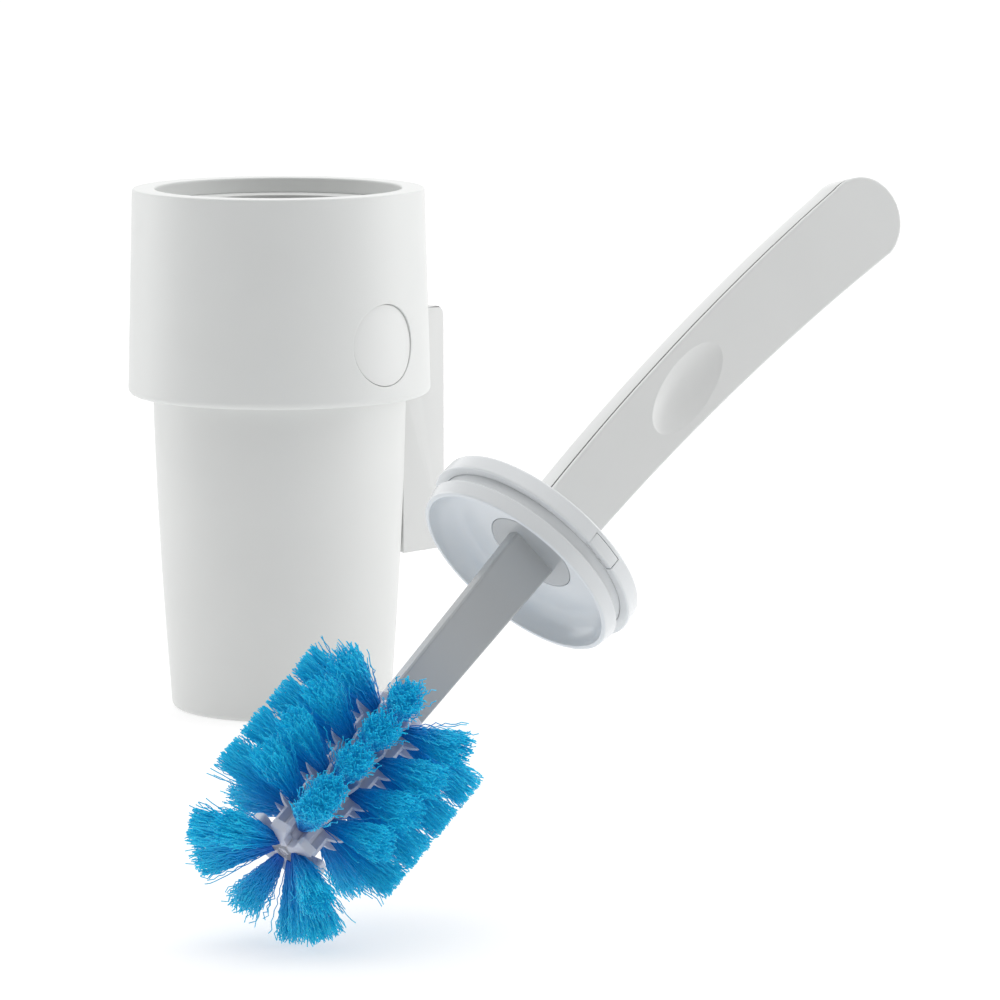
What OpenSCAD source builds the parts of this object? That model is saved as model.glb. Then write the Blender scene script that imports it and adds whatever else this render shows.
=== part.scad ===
// Toilet brush holder with its brush lying out in front, head on the floor.
// Millimetres, +Z up. The origin is the centre of the cup's flat base, +Y is the wall side
// and +X is the side of the round button. The brush is built upright in its own frame
// (+Z from the bristle head to the handle, origin at the lower rim of the lid's plug,
// +Y the flat face of the handle) and then laid in its leaning place.

/* [Holder] */
// Height of the holder from its base to the top of the collar
holder_h = 206; // [196:1:220]
// Height of the collar
collar_h = 81; // [76:1:86]
// Outer diameter of the collar at its top
collar_d = 115; // [112:1:122]
// Growth of the collar's radius from its top to its bottom
collar_flare = 2.2; // [1:0.1:3]
// Width of the collar's flat top rim
rim_w = 9; // [7:0.5:9.5]
// Thickness of the collar's top lip
lip_t = 6; // [5:0.5:8]
// Thickness of the collar's wall
collar_wall = 3.2; // [2.6:0.1:3.6]

/* [Cup] */
// Outer radius of the cup at its base
cup_base_r = 43.4; // [42.5:0.1:43.8]
// Growth of the cup's radius for each millimetre of height, at the base
cup_taper = 0.08; // [0.07:0.005:0.08]
// How fast that growth fades with height
cup_bow = 0.00022; // [0.0002:0.00001:0.00026]
// Thickness of the cup's wall
cup_wall = 2.5; // [2:0.1:3]
// Radius of the opening in the ring that carries the lid
mouth_r = 37.8; // [37.7:0.1:38.2]

/* [Button] */
// Diameter of the round button
button_d = 32; // [28:0.5:33]
// Height of the button's centre above the base
button_z = 148; // [146:1:150]
// Gap between the button and its hole
button_gap = 0.35; // [0.3:0.05:0.5]

/* [Wall bracket] */
// Width of the bracket
bracket_w = 50; // [46:1:54]
// Distance from the cup's axis to the wall
wall_y = 68; // [68:0.5:70]
// Height of the bracket's lower edge
bracket_low = 58; // [50:1:62]
// Height of the bracket's upper edge
bracket_top = 156; // [154:1:160]
// Distance between the two wall screws
screw_pitch = 60; // [50:1:64]
// Diameter of a wall screw's hole
screw_d = 5; // [4:0.5:6]

/* [Lid] */
// Radius of the lid's flange at its lower edge
flange_r = 39.2; // [39:0.1:39.6]
// Radius of the plug where it is widest
plug_r = 37.5; // [36.5:0.1:37.6]
// Depth of the recess under the lid
recess_depth = 9; // [7:0.5:9]

/* [Brush] */
// Width of the flat bar at the lid
stem_w = 18.4; // [16:0.2:19]
// Width of the flat bar at the head
stem_end_w = 15.6; // [14:0.2:16]
// Thickness of the flat bar
stem_t = 6; // [5:0.5:7]
// Radius of the bristle head
head_r = 35; // [32:0.5:36]
// Number of tufts along one row, without the splayed one at its end
tufts = 4; // [3:1:4]
// Length of the handle above the lid
handle_len = 180; // [160:1:190]
// Thickness of the handle
handle_t = 16; // [14:0.5:18]

/* [Leaning place] */
// Where the brush's origin lies
brush_at = [320, -209.5, 111.2];
// Rise of the brush's axis above the floor, in degrees
brush_lean = 40; // [38:0.5:42]
// Heading of the brush's axis from +X towards +Y, in degrees
brush_heading = 82.5; // [80:0.5:85]
// Turn of the brush about its own axis, in degrees
brush_roll = 166; // [160:1:172]

/* [Hidden] */
$fn = 96;
ROWS = 8;

collar_top_r = collar_d / 2;
collar_low_r = collar_top_r + collar_flare;
collar_low = holder_h - collar_h;
lip_low = holder_h - lip_t;
opening_r = collar_top_r - rim_w;
ring_t = 4;
cup_top = lip_low - ring_t;
neck_r = 49.8;
cup_steps = 12;
base_round = 2.3;
bottom_round = 2.4;
base_ring_gap = 0.5;

// Outer radius of the cup at a height, up to the straight neck inside the collar
function cup_r(z) = min(neck_r, cup_base_r + cup_taper * z - cup_bow * z * z);
// Outer radius of the collar at a height
function collar_r(z) = collar_low_r - collar_flare * (z - collar_low) / collar_h;
// Points of an arc from angle a to angle b, about a centre
function arc(centre, r, a, b, n) =
    [for (i = [0:n]) centre + r * [cos(a + (b - a) * i / n), sin(a + (b - a) * i / n)]];

// ---- Holder -----------------------------------------------------------------------------

// Cup: a bowed, tapered beaker with a rounded foot edge and a straight neck
module cup() {
    floor_t = 3;
    outer = [for (i = [1:cup_steps]) let (z = base_round + (collar_low - base_round) * i / cup_steps)
        [cup_r(z), z]];
    inner = [for (i = [cup_steps:-1:1])
        let (z = floor_t + 3 + (collar_low - floor_t - 3) * i / cup_steps) [cup_r(z) - cup_wall, z]];
    color("whitesmoke")
    rotate_extrude() polygon(concat(
        [[0, 0]],
        arc([cup_r(0) - base_round, base_round], base_round, -90, 0, 6),
        outer, [[neck_r, collar_low + 1], [neck_r, cup_top], [neck_r - cup_wall, cup_top]],
        inner, [[cup_r(0) - cup_wall - 2.5, floor_t], [0, floor_t]]));
}

// Ring that closes the cup's mouth down to the lid's size; a skirt centres it in the cup and
// a short tube guides the lid's plug
module seat_ring() {
    skirt_r = neck_r - cup_wall - 0.2;
    skirt_t = 2.2;
    skirt_h = 8;
    edge = 0.4;
    tube_t = 2;
    tube_low = cup_top - 4;
    color("white")
    rotate_extrude() polygon([
        [mouth_r, tube_low], [mouth_r + tube_t, tube_low], [mouth_r + tube_t, cup_top],
        [skirt_r - skirt_t, cup_top],
        [skirt_r - skirt_t, cup_top - skirt_h], [skirt_r, cup_top - skirt_h], [skirt_r, cup_top],
        [neck_r, cup_top], [neck_r, lip_low], [mouth_r + edge, lip_low], [mouth_r, lip_low - edge]]);
}

// T-shaped hook that hangs the collar on the wall bracket
hook_low = 131;
hook_h = 20;
web_w = 8.4;
hook_w = 28.8;
hook_t = 1.9;
plate_t = 3;
plate_y = wall_y - plate_t;
hook_gap = 0.3;

module hook() {
    translate([-web_w / 2, collar_top_r - collar_wall + 1, hook_low])
        cube([web_w, plate_y - hook_gap - collar_top_r + collar_wall - 1, hook_h]);
    translate([-hook_w / 2, plate_y - hook_gap - hook_t, hook_low]) cube([hook_w, hook_t, hook_h]);
}

// Collar: the thick-lipped tapering sleeve round the cup's upper part
module collar() {
    top_round = 0.8;
    wall_top = lip_low;
    color("white")
    difference() {
        union() {
            rotate_extrude() polygon(concat(
                arc([collar_low_r - bottom_round, collar_low + bottom_round], bottom_round, -90, 0, 6),
                arc([collar_top_r - top_round, holder_h - top_round], top_round, 0, 90, 4),
                arc([opening_r + top_round, holder_h - top_round], top_round, 90, 180, 4),
                [[opening_r, lip_low], [collar_r(wall_top) - collar_wall, wall_top],
                 [collar_low_r - collar_wall, collar_low]]));
            hook();
        }
        translate([0, 0, button_z]) rotate([0, 90, 0]) cylinder(d = button_d, h = collar_d);
    }
}

// Ring that closes the gap between the collar's lower edge and the cup
module collar_base_ring() {
    ring_h = 2.2;
    ring_low = collar_low + 0.4;
    outer_r = collar_r(ring_low + ring_h) - collar_wall - 0.1;
    inner_r = neck_r + base_ring_gap;
    edge = 0.6;
    color("whitesmoke")
    rotate_extrude() polygon([
        [inner_r + edge, ring_low], [outer_r, ring_low], [outer_r, ring_low + ring_h],
        [inner_r, ring_low + ring_h], [inner_r, ring_low + edge]]);
}

// ---- Button -----------------------------------------------------------------------------

button_r = button_d / 2 - button_gap;
button_t = 2.2;
button_sink = 0.3;
button_x = collar_r(button_z) - button_sink;
guide_x = neck_r + 0.8;
guide_t = 1.2;
pin_r = 3;
spring_r = 4.6;

module along_x(x) {
    translate([x, 0, button_z]) rotate([0, 90, 0]) children();
}

// Solid bounded by the collar's outer taper, moved inwards
module collar_taper(inset) {
    translate([0, 0, collar_low])
        cylinder(r1 = collar_low_r - inset, r2 = collar_top_r - inset, h = collar_h);
}

// Button: a disc that follows the collar's surface, with a guide pin on its back
module release_button() {
    pin_end = guide_x + guide_t + 2.3;
    color("white")
    union() {
        intersection() {
            along_x(neck_r) cylinder(r = button_r, h = collar_top_r);
            difference() {
                collar_taper(button_sink);
                collar_taper(button_sink + button_t);
            }
        }
        along_x(pin_end) cylinder(r = pin_r, h = button_x - button_t / 2 - pin_end);
    }
}

// Return spring round the button's pin, drawn as its outer envelope
module button_spring() {
    spring_x = guide_x + guide_t;
    color("silver")
    along_x(spring_x) difference() {
        cylinder(r = spring_r, h = button_x - button_t - spring_x - 0.5);
        translate([0, 0, -1]) cylinder(r = pin_r + 0.4, h = 10);
    }
}

// Guide: a shallow dish inside the collar that keeps the button and its spring
module button_guide() {
    wall_t = 1.4;
    bore_r = button_d / 2 + 0.6;
    color("gainsboro")
    intersection() {
        cylinder(r = collar_top_r - collar_wall - 0.1, h = holder_h);
        along_x(guide_x) difference() {
            cylinder(r = bore_r + wall_t, h = 6);
            translate([0, 0, guide_t]) cylinder(r = bore_r, h = 6);
        }
    }
}

// ---- Wall bracket -----------------------------------------------------------------------

cheek_t = 3;

// Side outline of the bracket, in Y and Z, with a rounded upper back corner
module bracket_side(back_round) {
    front = 40;
    polygon(concat(
        [[front, bracket_low], [wall_y, bracket_low]],
        arc([wall_y - back_round, bracket_top - back_round], back_round, 0, 90, 8),
        [[front, bracket_top]]));
}

// Bracket: a box open at its back, hollowed in front to fit round the cup and the collar,
// with a channel at its top for the collar's hook
module wall_bracket() {
    back_round = 4;
    cup_clear_r = neck_r + 1;
    collar_clear_r = collar_low_r + 0.6;
    step_z = collar_low - 0.7;
    inner_w = bracket_w - 2 * cheek_t;
    cavity_y = 54.5;
    channel_low = hook_low - 0.2;
    channel_w = hook_w + 1.2;
    channel_y = plate_y - hook_gap - hook_t - 0.4;
    color("gainsboro")
    difference() {
        translate([-bracket_w / 2, 0, 0]) rotate([90, 0, 90])
            linear_extrude(height = bracket_w) bracket_side(back_round);
        cylinder(r = cup_clear_r, h = holder_h);
        translate([0, 0, step_z]) cylinder(r = collar_clear_r, h = holder_h);
        translate([-inner_w / 2, plate_y, bracket_low + 2])
            cube([inner_w, plate_t + 1, bracket_top - bracket_low - 4]);
        translate([-inner_w / 2, cavity_y, bracket_low + 4])
            cube([inner_w, plate_y - cavity_y + 1, step_z - 2 - bracket_low - 4]);
        translate([-channel_w / 2, channel_y, channel_low])
            cube([channel_w, plate_y - channel_y, holder_h]);
        translate([-web_w / 2 - 0.4, neck_r, channel_low])
            cube([web_w + 0.8, channel_y - neck_r + 1, holder_h]);
    }
}

// Plate that is screwed to the wall; the bracket closes round it
module wall_plate() {
    plate_w = bracket_w - 2 * cheek_t - 0.2;
    plate_low = bracket_low + 2.1;
    plate_h = bracket_top - bracket_low - 4.2;
    color("lightgray")
    difference() {
        translate([-plate_w / 2, plate_y, plate_low]) cube([plate_w, plate_t, plate_h]);
        for (s = [-1, 1])
            translate([0, plate_y - 1, plate_low + plate_h / 2 + s * screw_pitch / 2])
                rotate([-90, 0, 0]) cylinder(d = screw_d, h = plate_t + 2);
    }
}

// ---- Brush, in its own frame ------------------------------------------------------------

plug_low_r = plug_r - 1.1;
groove_r = plug_r - 1.9;
plug_band = 5;
flange_low = 9.2;
lid_top = 15.5;
plug_top = 11.8;
disc_r = 15.7;
tang_w = 13;
tang_top = 46;
bar_end = -62;
spigot_r = 3.5;
spigot_len = 34;
fit_gap = 0.05;
core_r = 6.5;
core_end = -124;
pin_z = 36;
cross_pin_r = 1.5;
pin_len = 9.2;

module on_brush() {
    translate(brush_at) rotate([0, 90 - brush_lean, brush_heading]) rotate([0, 0, brush_roll])
        children();
}

// Plug under the lid, with its shallow dished recess and a hole for the stem's disc
module lid_plug() {
    floor_r = 25.5;
    rim_r = plug_low_r - 1.6;
    color("aliceblue")
    on_brush() rotate_extrude() polygon(concat(
        [[disc_r + fit_gap, recess_depth], [floor_r, recess_depth]],
        arc([floor_r, 0], rim_r - floor_r, 75, 0, 6),
        [[plug_low_r - 0.3, 0], [plug_low_r, 0.3], [plug_r, plug_band], [groove_r, plug_band + 0.2],
         [groove_r, plug_top], [disc_r + fit_gap, plug_top]]));
}

// Cap of the lid: the flange that rests on the seat ring, with a slot for the stem's tang
module lid_cap() {
    edge = 0.5;
    color("white")
    on_brush() difference() {
        rotate_extrude() polygon([
            [0, plug_top + 0.1], [groove_r + 0.1, plug_top + 0.1], [groove_r + 0.1, flange_low],
            [flange_r - edge, flange_low], [flange_r, flange_low + edge],
            [flange_r - 0.5, lid_top - edge], [flange_r - 0.5 - edge, lid_top], [0, lid_top]]);
        translate([-tang_w / 2 - 0.1, -stem_t / 2 - 0.1, 0]) cube([tang_w + 0.2, stem_t + 0.2, 40]);
        on_flange() key_block(0.1);
    }
}

key_angle = 97;
module on_flange() {
    rotate([0, 0, key_angle]) children();
}
module key_block(grow) {
    key_w = 12;
    key_h = 4.2;
    translate([flange_r - 3 - grow, -key_w / 2 - grow, flange_low + 0.1 - grow])
        cube([5 + grow, key_w + 2 * grow, key_h + 2 * grow]);
}

// Small rectangular key let into the flange's edge
module lid_key() {
    color("white")
    on_brush() intersection() {
        on_flange() key_block(0);
        cylinder(r = flange_r - 0.15, h = 40);
    }
}

// Stem: flat tapering bar with a round disc in the lid, a tang in the handle and a round
// spigot in the head
module stem() {
    color("whitesmoke")
    on_brush() difference() {
        union() {
            translate([0, stem_t / 2, 0]) rotate([90, 0, 0]) linear_extrude(height = stem_t)
                polygon([[-stem_end_w / 2, bar_end], [stem_end_w / 2, bar_end],
                    [stem_w / 2, recess_depth + 1], [-stem_w / 2, recess_depth + 1]]);
            translate([0, 0, recess_depth]) cylinder(r = disc_r, h = plug_top - recess_depth);
            translate([-tang_w / 2, -stem_t / 2, recess_depth + 1])
                cube([tang_w, stem_t, tang_top - recess_depth - 1]);
            translate([0, 0, bar_end - spigot_len]) cylinder(r = spigot_r, h = spigot_len + 1);
        }
        translate([0, stem_t, pin_z]) rotate([90, 0, 0])
            cylinder(r = cross_pin_r + 0.1, h = 2 * stem_t);
    }
}

// Pin across the stem's tang
module cross_pin() {
    color("silver")
    on_brush() translate([0, pin_len / 2, pin_z]) rotate([90, 0, 0])
        cylinder(r = cross_pin_r, h = pin_len);
}

// Handle's centre line: straight at the lid, then bowed towards -X
handle_bow = 0.00053;
bow_from = 20;
handle_low_w = 22;
handle_tip_r = 15;
handle_steps = 14;
tip_z = lid_top + handle_len - handle_tip_r;
function handle_x(z) = -handle_bow * pow(max(0, z - bow_from), 2);
function handle_half(z) =
    handle_low_w / 2 + (handle_tip_r - handle_low_w / 2) * (z - lid_top) / (tip_z - lid_top);

// Outline of the blade in X and Z
module blade(inset) {
    side = [for (i = [0:handle_steps]) lid_top + (tip_z - lid_top) * i / handle_steps];
    polygon(concat(
        [for (z = side) [handle_x(z) + handle_half(z) - inset, z]],
        arc([handle_x(tip_z), tip_z], handle_tip_r - inset, 0, 180, 16),
        [for (i = [handle_steps:-1:0]) [handle_x(side[i]) - handle_half(side[i]) + inset, side[i]]]));
}
module blade_slab(y0, y1, inset) {
    translate([0, y1, 0]) rotate([90, 0, 0]) linear_extrude(height = y1 - y0) blade(inset);
}

seam_y = handle_t / 2 - 2.8;
seam_h = 0.6;

// Back of the handle, hollow where the stem's tang goes in
module handle_back() {
    color("whitesmoke")
    on_brush() difference() {
        blade_slab(-handle_t / 2, seam_y, 0);
        translate([-tang_w / 2 - 0.1, -stem_t / 2 - 0.1, 0])
            cube([tang_w + 0.2, stem_t + 0.2, tang_top + 1]);
        translate([0, pin_len / 2 + 0.1, pin_z]) rotate([90, 0, 0])
            cylinder(r = cross_pin_r + 0.1, h = pin_len + 0.2);
    }
}

// Front plate of the handle, set off by a fine groove, with the thumb dimple
module handle_front() {
    dimple_z = 88;
    dimple_len = 38;
    dimple_w = 17;
    dimple_depth = 2.2;
    ball_r = (dimple_w * dimple_w / 4 + dimple_depth * dimple_depth) / (2 * dimple_depth);
    reach = (dimple_len - dimple_w) / 2;
    color("white")
    on_brush() difference() {
        union() {
            blade_slab(seam_y, seam_y + seam_h, 1);
            blade_slab(seam_y + seam_h, handle_t / 2, 0);
        }
        hull() for (s = [-1, 1])
            translate([handle_x(dimple_z + s * reach) - 0.3,
                handle_t / 2 - dimple_depth + ball_r, dimple_z + s * reach])
                sphere(r = ball_r, $fn = 32);
    }
}

// Core of the head: hub with toothed fins between the bristle rows
fin_reach = 9;
tooth_reach = 14.5;
tooth_w = 6;
tuft_pitch = 13.5;
first_tuft = -69.5;

module fin() {
    fin_t = 2;
    fin_top = first_tuft + tuft_pitch / 2;
    tooth_z = [for (i = [0:tufts]) max(first_tuft - tuft_pitch * i, core_end + tooth_w / 2)];
    teeth = [for (z = tooth_z) each [
        [fin_reach, z + tooth_w / 2], [tooth_reach, z], [fin_reach, z - tooth_w / 2]]];
    translate([0, fin_t / 2, 0]) rotate([90, 0, 0]) linear_extrude(height = fin_t)
        polygon(concat([[core_r - 1, fin_top], [fin_reach, fin_top]], teeth,
            [[core_r - 1, core_end]]));
}

module brush_core() {
    neck_h = 4;
    color("white")
    on_brush() difference() {
        union() {
            translate([0, 0, core_end]) cylinder(r = core_r, h = bar_end - neck_h - core_end);
            translate([0, 0, bar_end - neck_h]) cylinder(r1 = core_r, r2 = core_r - 1, h = neck_h);
            for (i = [0:ROWS - 1]) rotate([0, 0, 360 / ROWS * i]) fin();
        }
        translate([0, 0, bar_end - spigot_len - 0.5])
            cylinder(r = spigot_r + fit_gap, h = spigot_len + 1);
    }
}

// One bundle of bristles from the core outwards, leaning forwards by an angle
module tuft(z, forward, reach) {
    root_r = 1.5;
    tip_r = 4.8;
    start = core_r + 0.7;
    translate([start * cos(forward), 0, z - start * sin(forward)]) rotate([0, 90 + forward, 0])
        cylinder(r1 = root_r, r2 = tip_r, h = reach - start);
}

// One row of bundles; the last one splays forwards over the head's end
module bristle_row(i) {
    end_lean = 30.5;
    end_reach = head_r - 2;
    color("deepskyblue")
    on_brush() rotate([0, 0, 360 / ROWS * (i - 0.5)]) {
        for (j = [0:tufts - 1]) tuft(first_tuft - tuft_pitch * j, 0, head_r);
        tuft(core_end + 3, end_lean, end_reach);
    }
}

cup();
seat_ring();
collar();
collar_base_ring();
release_button();
button_spring();
button_guide();
wall_bracket();
wall_plate();
lid_plug();
lid_cap();
lid_key();
stem();
cross_pin();
handle_back();
handle_front();
brush_core();
bristle_row(1);  // bristle_row_1
bristle_row(2);  // bristle_row_2
bristle_row(3);  // bristle_row_3
bristle_row(4);  // bristle_row_4
bristle_row(5);  // bristle_row_5
bristle_row(6);  // bristle_row_6
bristle_row(7);  // bristle_row_7
bristle_row(8);  // bristle_row_8
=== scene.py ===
"""Shown model of a toilet brush and its wall-hung holder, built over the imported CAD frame.

Lengths in the classes are millimetres. The holder's origin is the middle of the cup's flat
base, with +Z up, +Y towards the wall and +X towards the round button. The brush is built in
its own frame (+Z from the bristle head to the handle) and laid in its leaning place last.
"""

from __future__ import annotations

import logging
import math
from dataclasses import dataclass
from enum import Enum
from typing import Callable, Iterable, Mapping, Sequence

import bmesh
import bpy
from mathutils import Matrix, Vector
from mathutils.geometry import tessellate_polygon


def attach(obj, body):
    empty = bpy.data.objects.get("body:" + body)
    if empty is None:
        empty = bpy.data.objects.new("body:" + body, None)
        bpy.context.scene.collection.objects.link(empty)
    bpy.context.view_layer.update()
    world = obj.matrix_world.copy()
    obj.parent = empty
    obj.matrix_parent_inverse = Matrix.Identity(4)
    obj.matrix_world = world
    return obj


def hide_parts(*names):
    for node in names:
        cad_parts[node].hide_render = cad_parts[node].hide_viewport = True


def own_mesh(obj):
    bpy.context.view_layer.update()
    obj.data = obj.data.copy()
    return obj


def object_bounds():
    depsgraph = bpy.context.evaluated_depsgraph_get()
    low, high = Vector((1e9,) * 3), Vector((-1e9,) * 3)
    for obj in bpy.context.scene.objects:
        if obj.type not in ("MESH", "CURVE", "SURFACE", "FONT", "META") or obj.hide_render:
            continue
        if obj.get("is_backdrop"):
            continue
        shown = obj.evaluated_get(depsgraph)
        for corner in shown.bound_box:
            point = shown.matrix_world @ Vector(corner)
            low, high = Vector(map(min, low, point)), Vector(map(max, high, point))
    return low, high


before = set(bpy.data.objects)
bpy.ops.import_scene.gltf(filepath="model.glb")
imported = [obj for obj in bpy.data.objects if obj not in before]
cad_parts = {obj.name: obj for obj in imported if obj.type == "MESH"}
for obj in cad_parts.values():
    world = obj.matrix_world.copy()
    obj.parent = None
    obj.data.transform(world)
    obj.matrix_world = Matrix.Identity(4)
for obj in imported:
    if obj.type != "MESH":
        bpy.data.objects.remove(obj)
CAD_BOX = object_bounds()

log = logging.getLogger("brush_holder")
MM = 0.001
MERGE_DISTANCE = 1e-7  # metres
POLE_R = 1e-6  # a smaller radius of a profile is a pole
BEYOND = 300.0  # height above the whole holder, for cutters
PATCH_SHARES = (0.7, 0.42, 0.2, 0.06, 0.0)  # from a patch's border to its inner loop
Flat = tuple[float, float]
Colour = tuple[float, float, float]


class Body(Enum):
    """Moving bodies of the frame."""

    BRACKET = "wall_bracket"
    CUP = "cup"
    COLLAR = "collar"
    BUTTON = "release_button"
    HEAD = "brush_head"
    HANDLE = "brush_handle"


class Slot(Enum):
    """Material slots."""

    COLLAR = "collar_white"
    CUP = "cup_white"
    BUTTON = "button_white"
    INNER = "inner_grey"
    BRACKET = "bracket_grey"
    STEEL = "steel"
    LID = "lid_white"
    STEM = "stem_white"
    HANDLE = "handle_white"
    CORE = "core_white"
    BRISTLE = "bristle_blue"


# ---- Nodes ----------------------------------------------------------------------------------


class Val:
    """A number socket; arithmetic on it adds Math nodes."""

    def __init__(self, graph: "Graph", socket: bpy.types.NodeSocket) -> None:
        """Keeps the graph and the socket."""
        self.graph = graph
        self.socket = socket

    def math(self, operation: str, *others: object) -> "Val":
        """Adds one Math node.

        Args:
            operation: name of the Math node's operation.
            others: the further inputs, numbers or Vals.

        Returns:
            The node's result.
        """
        return self.graph.math(operation, self, *others)

    def __add__(self, other: object) -> "Val":
        """self + other."""
        return self.math("ADD", other)

    __radd__ = __add__

    def __mul__(self, other: object) -> "Val":
        """self * other."""
        return self.math("MULTIPLY", other)

    __rmul__ = __mul__

    def __sub__(self, other: object) -> "Val":
        """self - other."""
        return self.math("SUBTRACT", other)

    def __rsub__(self, other: object) -> "Val":
        """other - self."""
        return self.graph.math("SUBTRACT", other, self)

    def __pow__(self, other: object) -> "Val":
        """self to the power of other."""
        return self.math("POWER", other)


class Graph:
    """A node tree that nodes are added to by type, settings and socket values."""

    def __init__(self, tree: bpy.types.NodeTree) -> None:
        """Keeps the tree."""
        self.tree = tree

    def node(
        self,
        kind: str,
        settings: Mapping[str, object] | None = None,
        values: Mapping[object, object] | None = None,
    ) -> bpy.types.Node:
        """Adds a node.

        Args:
            kind: the node's type name.
            settings: properties of the node; "stops" holds a colour ramp's stops.
            values: values or links by input name or index.

        Returns:
            The new node.
        """
        made = self.tree.nodes.new(kind)
        for name, value in (settings or {}).items():
            if name == "stops":
                self._stops(made.color_ramp, value)
            else:
                setattr(made, name, value)
        for key, value in (values or {}).items():
            self.feed(made.inputs[key], value)
        return made

    @staticmethod
    def _stops(ramp: bpy.types.ColorRamp, stops: Sequence[tuple[float, Colour]]) -> None:
        """Sets a colour ramp's stops.

        Args:
            ramp: the ramp, with its two default stops.
            stops: position and colour of each stop.
        """
        while len(ramp.elements) < len(stops):
            ramp.elements.new(0.5)
        for element, (place, colour) in zip(ramp.elements, stops):
            element.position = place
            element.color = (*colour, 1.0)

    def feed(self, target: bpy.types.NodeSocket, value: object) -> None:
        """Links a socket or Val to an input, or sets its value.

        Args:
            target: the input.
            value: a Val, an output socket or a plain value.
        """
        source = value.socket if isinstance(value, Val) else value
        if isinstance(source, bpy.types.NodeSocket):
            self.tree.links.new(source, target)
        elif isinstance(source, tuple) and target.type == "RGBA":
            target.default_value = (*source, 1.0)
        else:
            target.default_value = source

    def val(self, socket: bpy.types.NodeSocket) -> Val:
        """A Val on an output socket."""
        return Val(self, socket)

    def math(self, operation: str, *inputs: object) -> Val:
        """Adds a Math node.

        Args:
            operation: name of the operation.
            inputs: numbers or Vals, in the node's order.

        Returns:
            The node's result.
        """
        made = self.node("ShaderNodeMath", {"operation": operation}, dict(enumerate(inputs)))
        return self.val(made.outputs[0])

    def vector(self, operation: str, *inputs: object) -> bpy.types.NodeSocket:
        """Adds a Vector Math node.

        Args:
            operation: name of the operation; SCALE takes the vector and the factor.
            inputs: vectors or links, in the node's order.

        Returns:
            The node's vector result.
        """
        keys = [0, "Scale"] if operation == "SCALE" else range(len(inputs))
        made = self.node(
            "ShaderNodeVectorMath", {"operation": operation}, dict(zip(keys, inputs))
        )
        return made.outputs[0]


# ---- Finishes -------------------------------------------------------------------------------


def new_material(name: str) -> tuple[bpy.types.Material, Graph, bpy.types.Node]:
    """Makes an empty node material with one Principled shader.

    Args:
        name: the material's name.

    Returns:
        The material, its graph and its Principled node.
    """
    made = bpy.data.materials.new(name)
    made.use_nodes = True
    made.node_tree.nodes.clear()
    graph = Graph(made.node_tree)
    shader = graph.node("ShaderNodeBsdfPrincipled")
    graph.node("ShaderNodeOutputMaterial", values={"Surface": shader.outputs[0]})
    return made, graph, shader


@dataclass(frozen=True)
class Plastic:
    """Moulded plastic: a soft drift of tint, uneven gloss and a fine spark-eroded grain."""

    name: str
    tint: Colour
    roughness: float
    drift: float = 0.03
    flow_scale: float = 26.0
    polish_drift: float = 0.05
    polish_scale: float = 210.0
    grain_depth: float = 0.05
    grain_scale: float = 2600.0
    grain_height: float = 0.0002
    ior: float = 1.46
    coat: float = 0.0
    coat_roughness: float = 0.12
    glow: float = 0.0
    glow_radius: Colour = (1.0, 1.0, 1.1)
    glow_depth: float = 0.0015

    def make(self) -> bpy.types.Material:
        """The finished material."""
        made, graph, shader = new_material(self.name)
        where = graph.node("ShaderNodeTexCoord").outputs["Object"]

        def noise(scale: float, detail: float) -> Val:
            """Noise on the piece, about a half in the middle."""
            tex = graph.node(
                "ShaderNodeTexNoise", values={"Vector": where, "Scale": scale, "Detail": detail}
            )
            return graph.val(tex.outputs[0])

        flow = noise(self.flow_scale, 2.0)
        polish = noise(self.polish_scale, 3.0)
        grain = noise(self.grain_scale, 2.0)
        deeper = tuple(c * (1 - 2 * self.drift) for c in self.tint)
        colour = graph.node(
            "ShaderNodeMix", {"data_type": "RGBA"}, {0: flow, 6: deeper, 7: self.tint}
        )
        graph.feed(shader.inputs["Base Color"], colour.outputs[2])
        gloss = (polish - 0.5) * self.polish_drift + self.roughness
        graph.feed(shader.inputs["Roughness"], gloss)
        bump = graph.node(
            "ShaderNodeBump",
            values={"Strength": self.grain_depth, "Distance": self.grain_height, "Height": grain},
        )
        graph.feed(shader.inputs["Normal"], bump.outputs[0])
        shader.inputs["IOR"].default_value = self.ior
        shader.inputs["Coat Weight"].default_value = self.coat
        shader.inputs["Coat Roughness"].default_value = self.coat_roughness
        shader.inputs["Subsurface Weight"].default_value = self.glow
        shader.inputs["Subsurface Radius"].default_value = self.glow_radius
        shader.inputs["Subsurface Scale"].default_value = self.glow_depth
        return made


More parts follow.
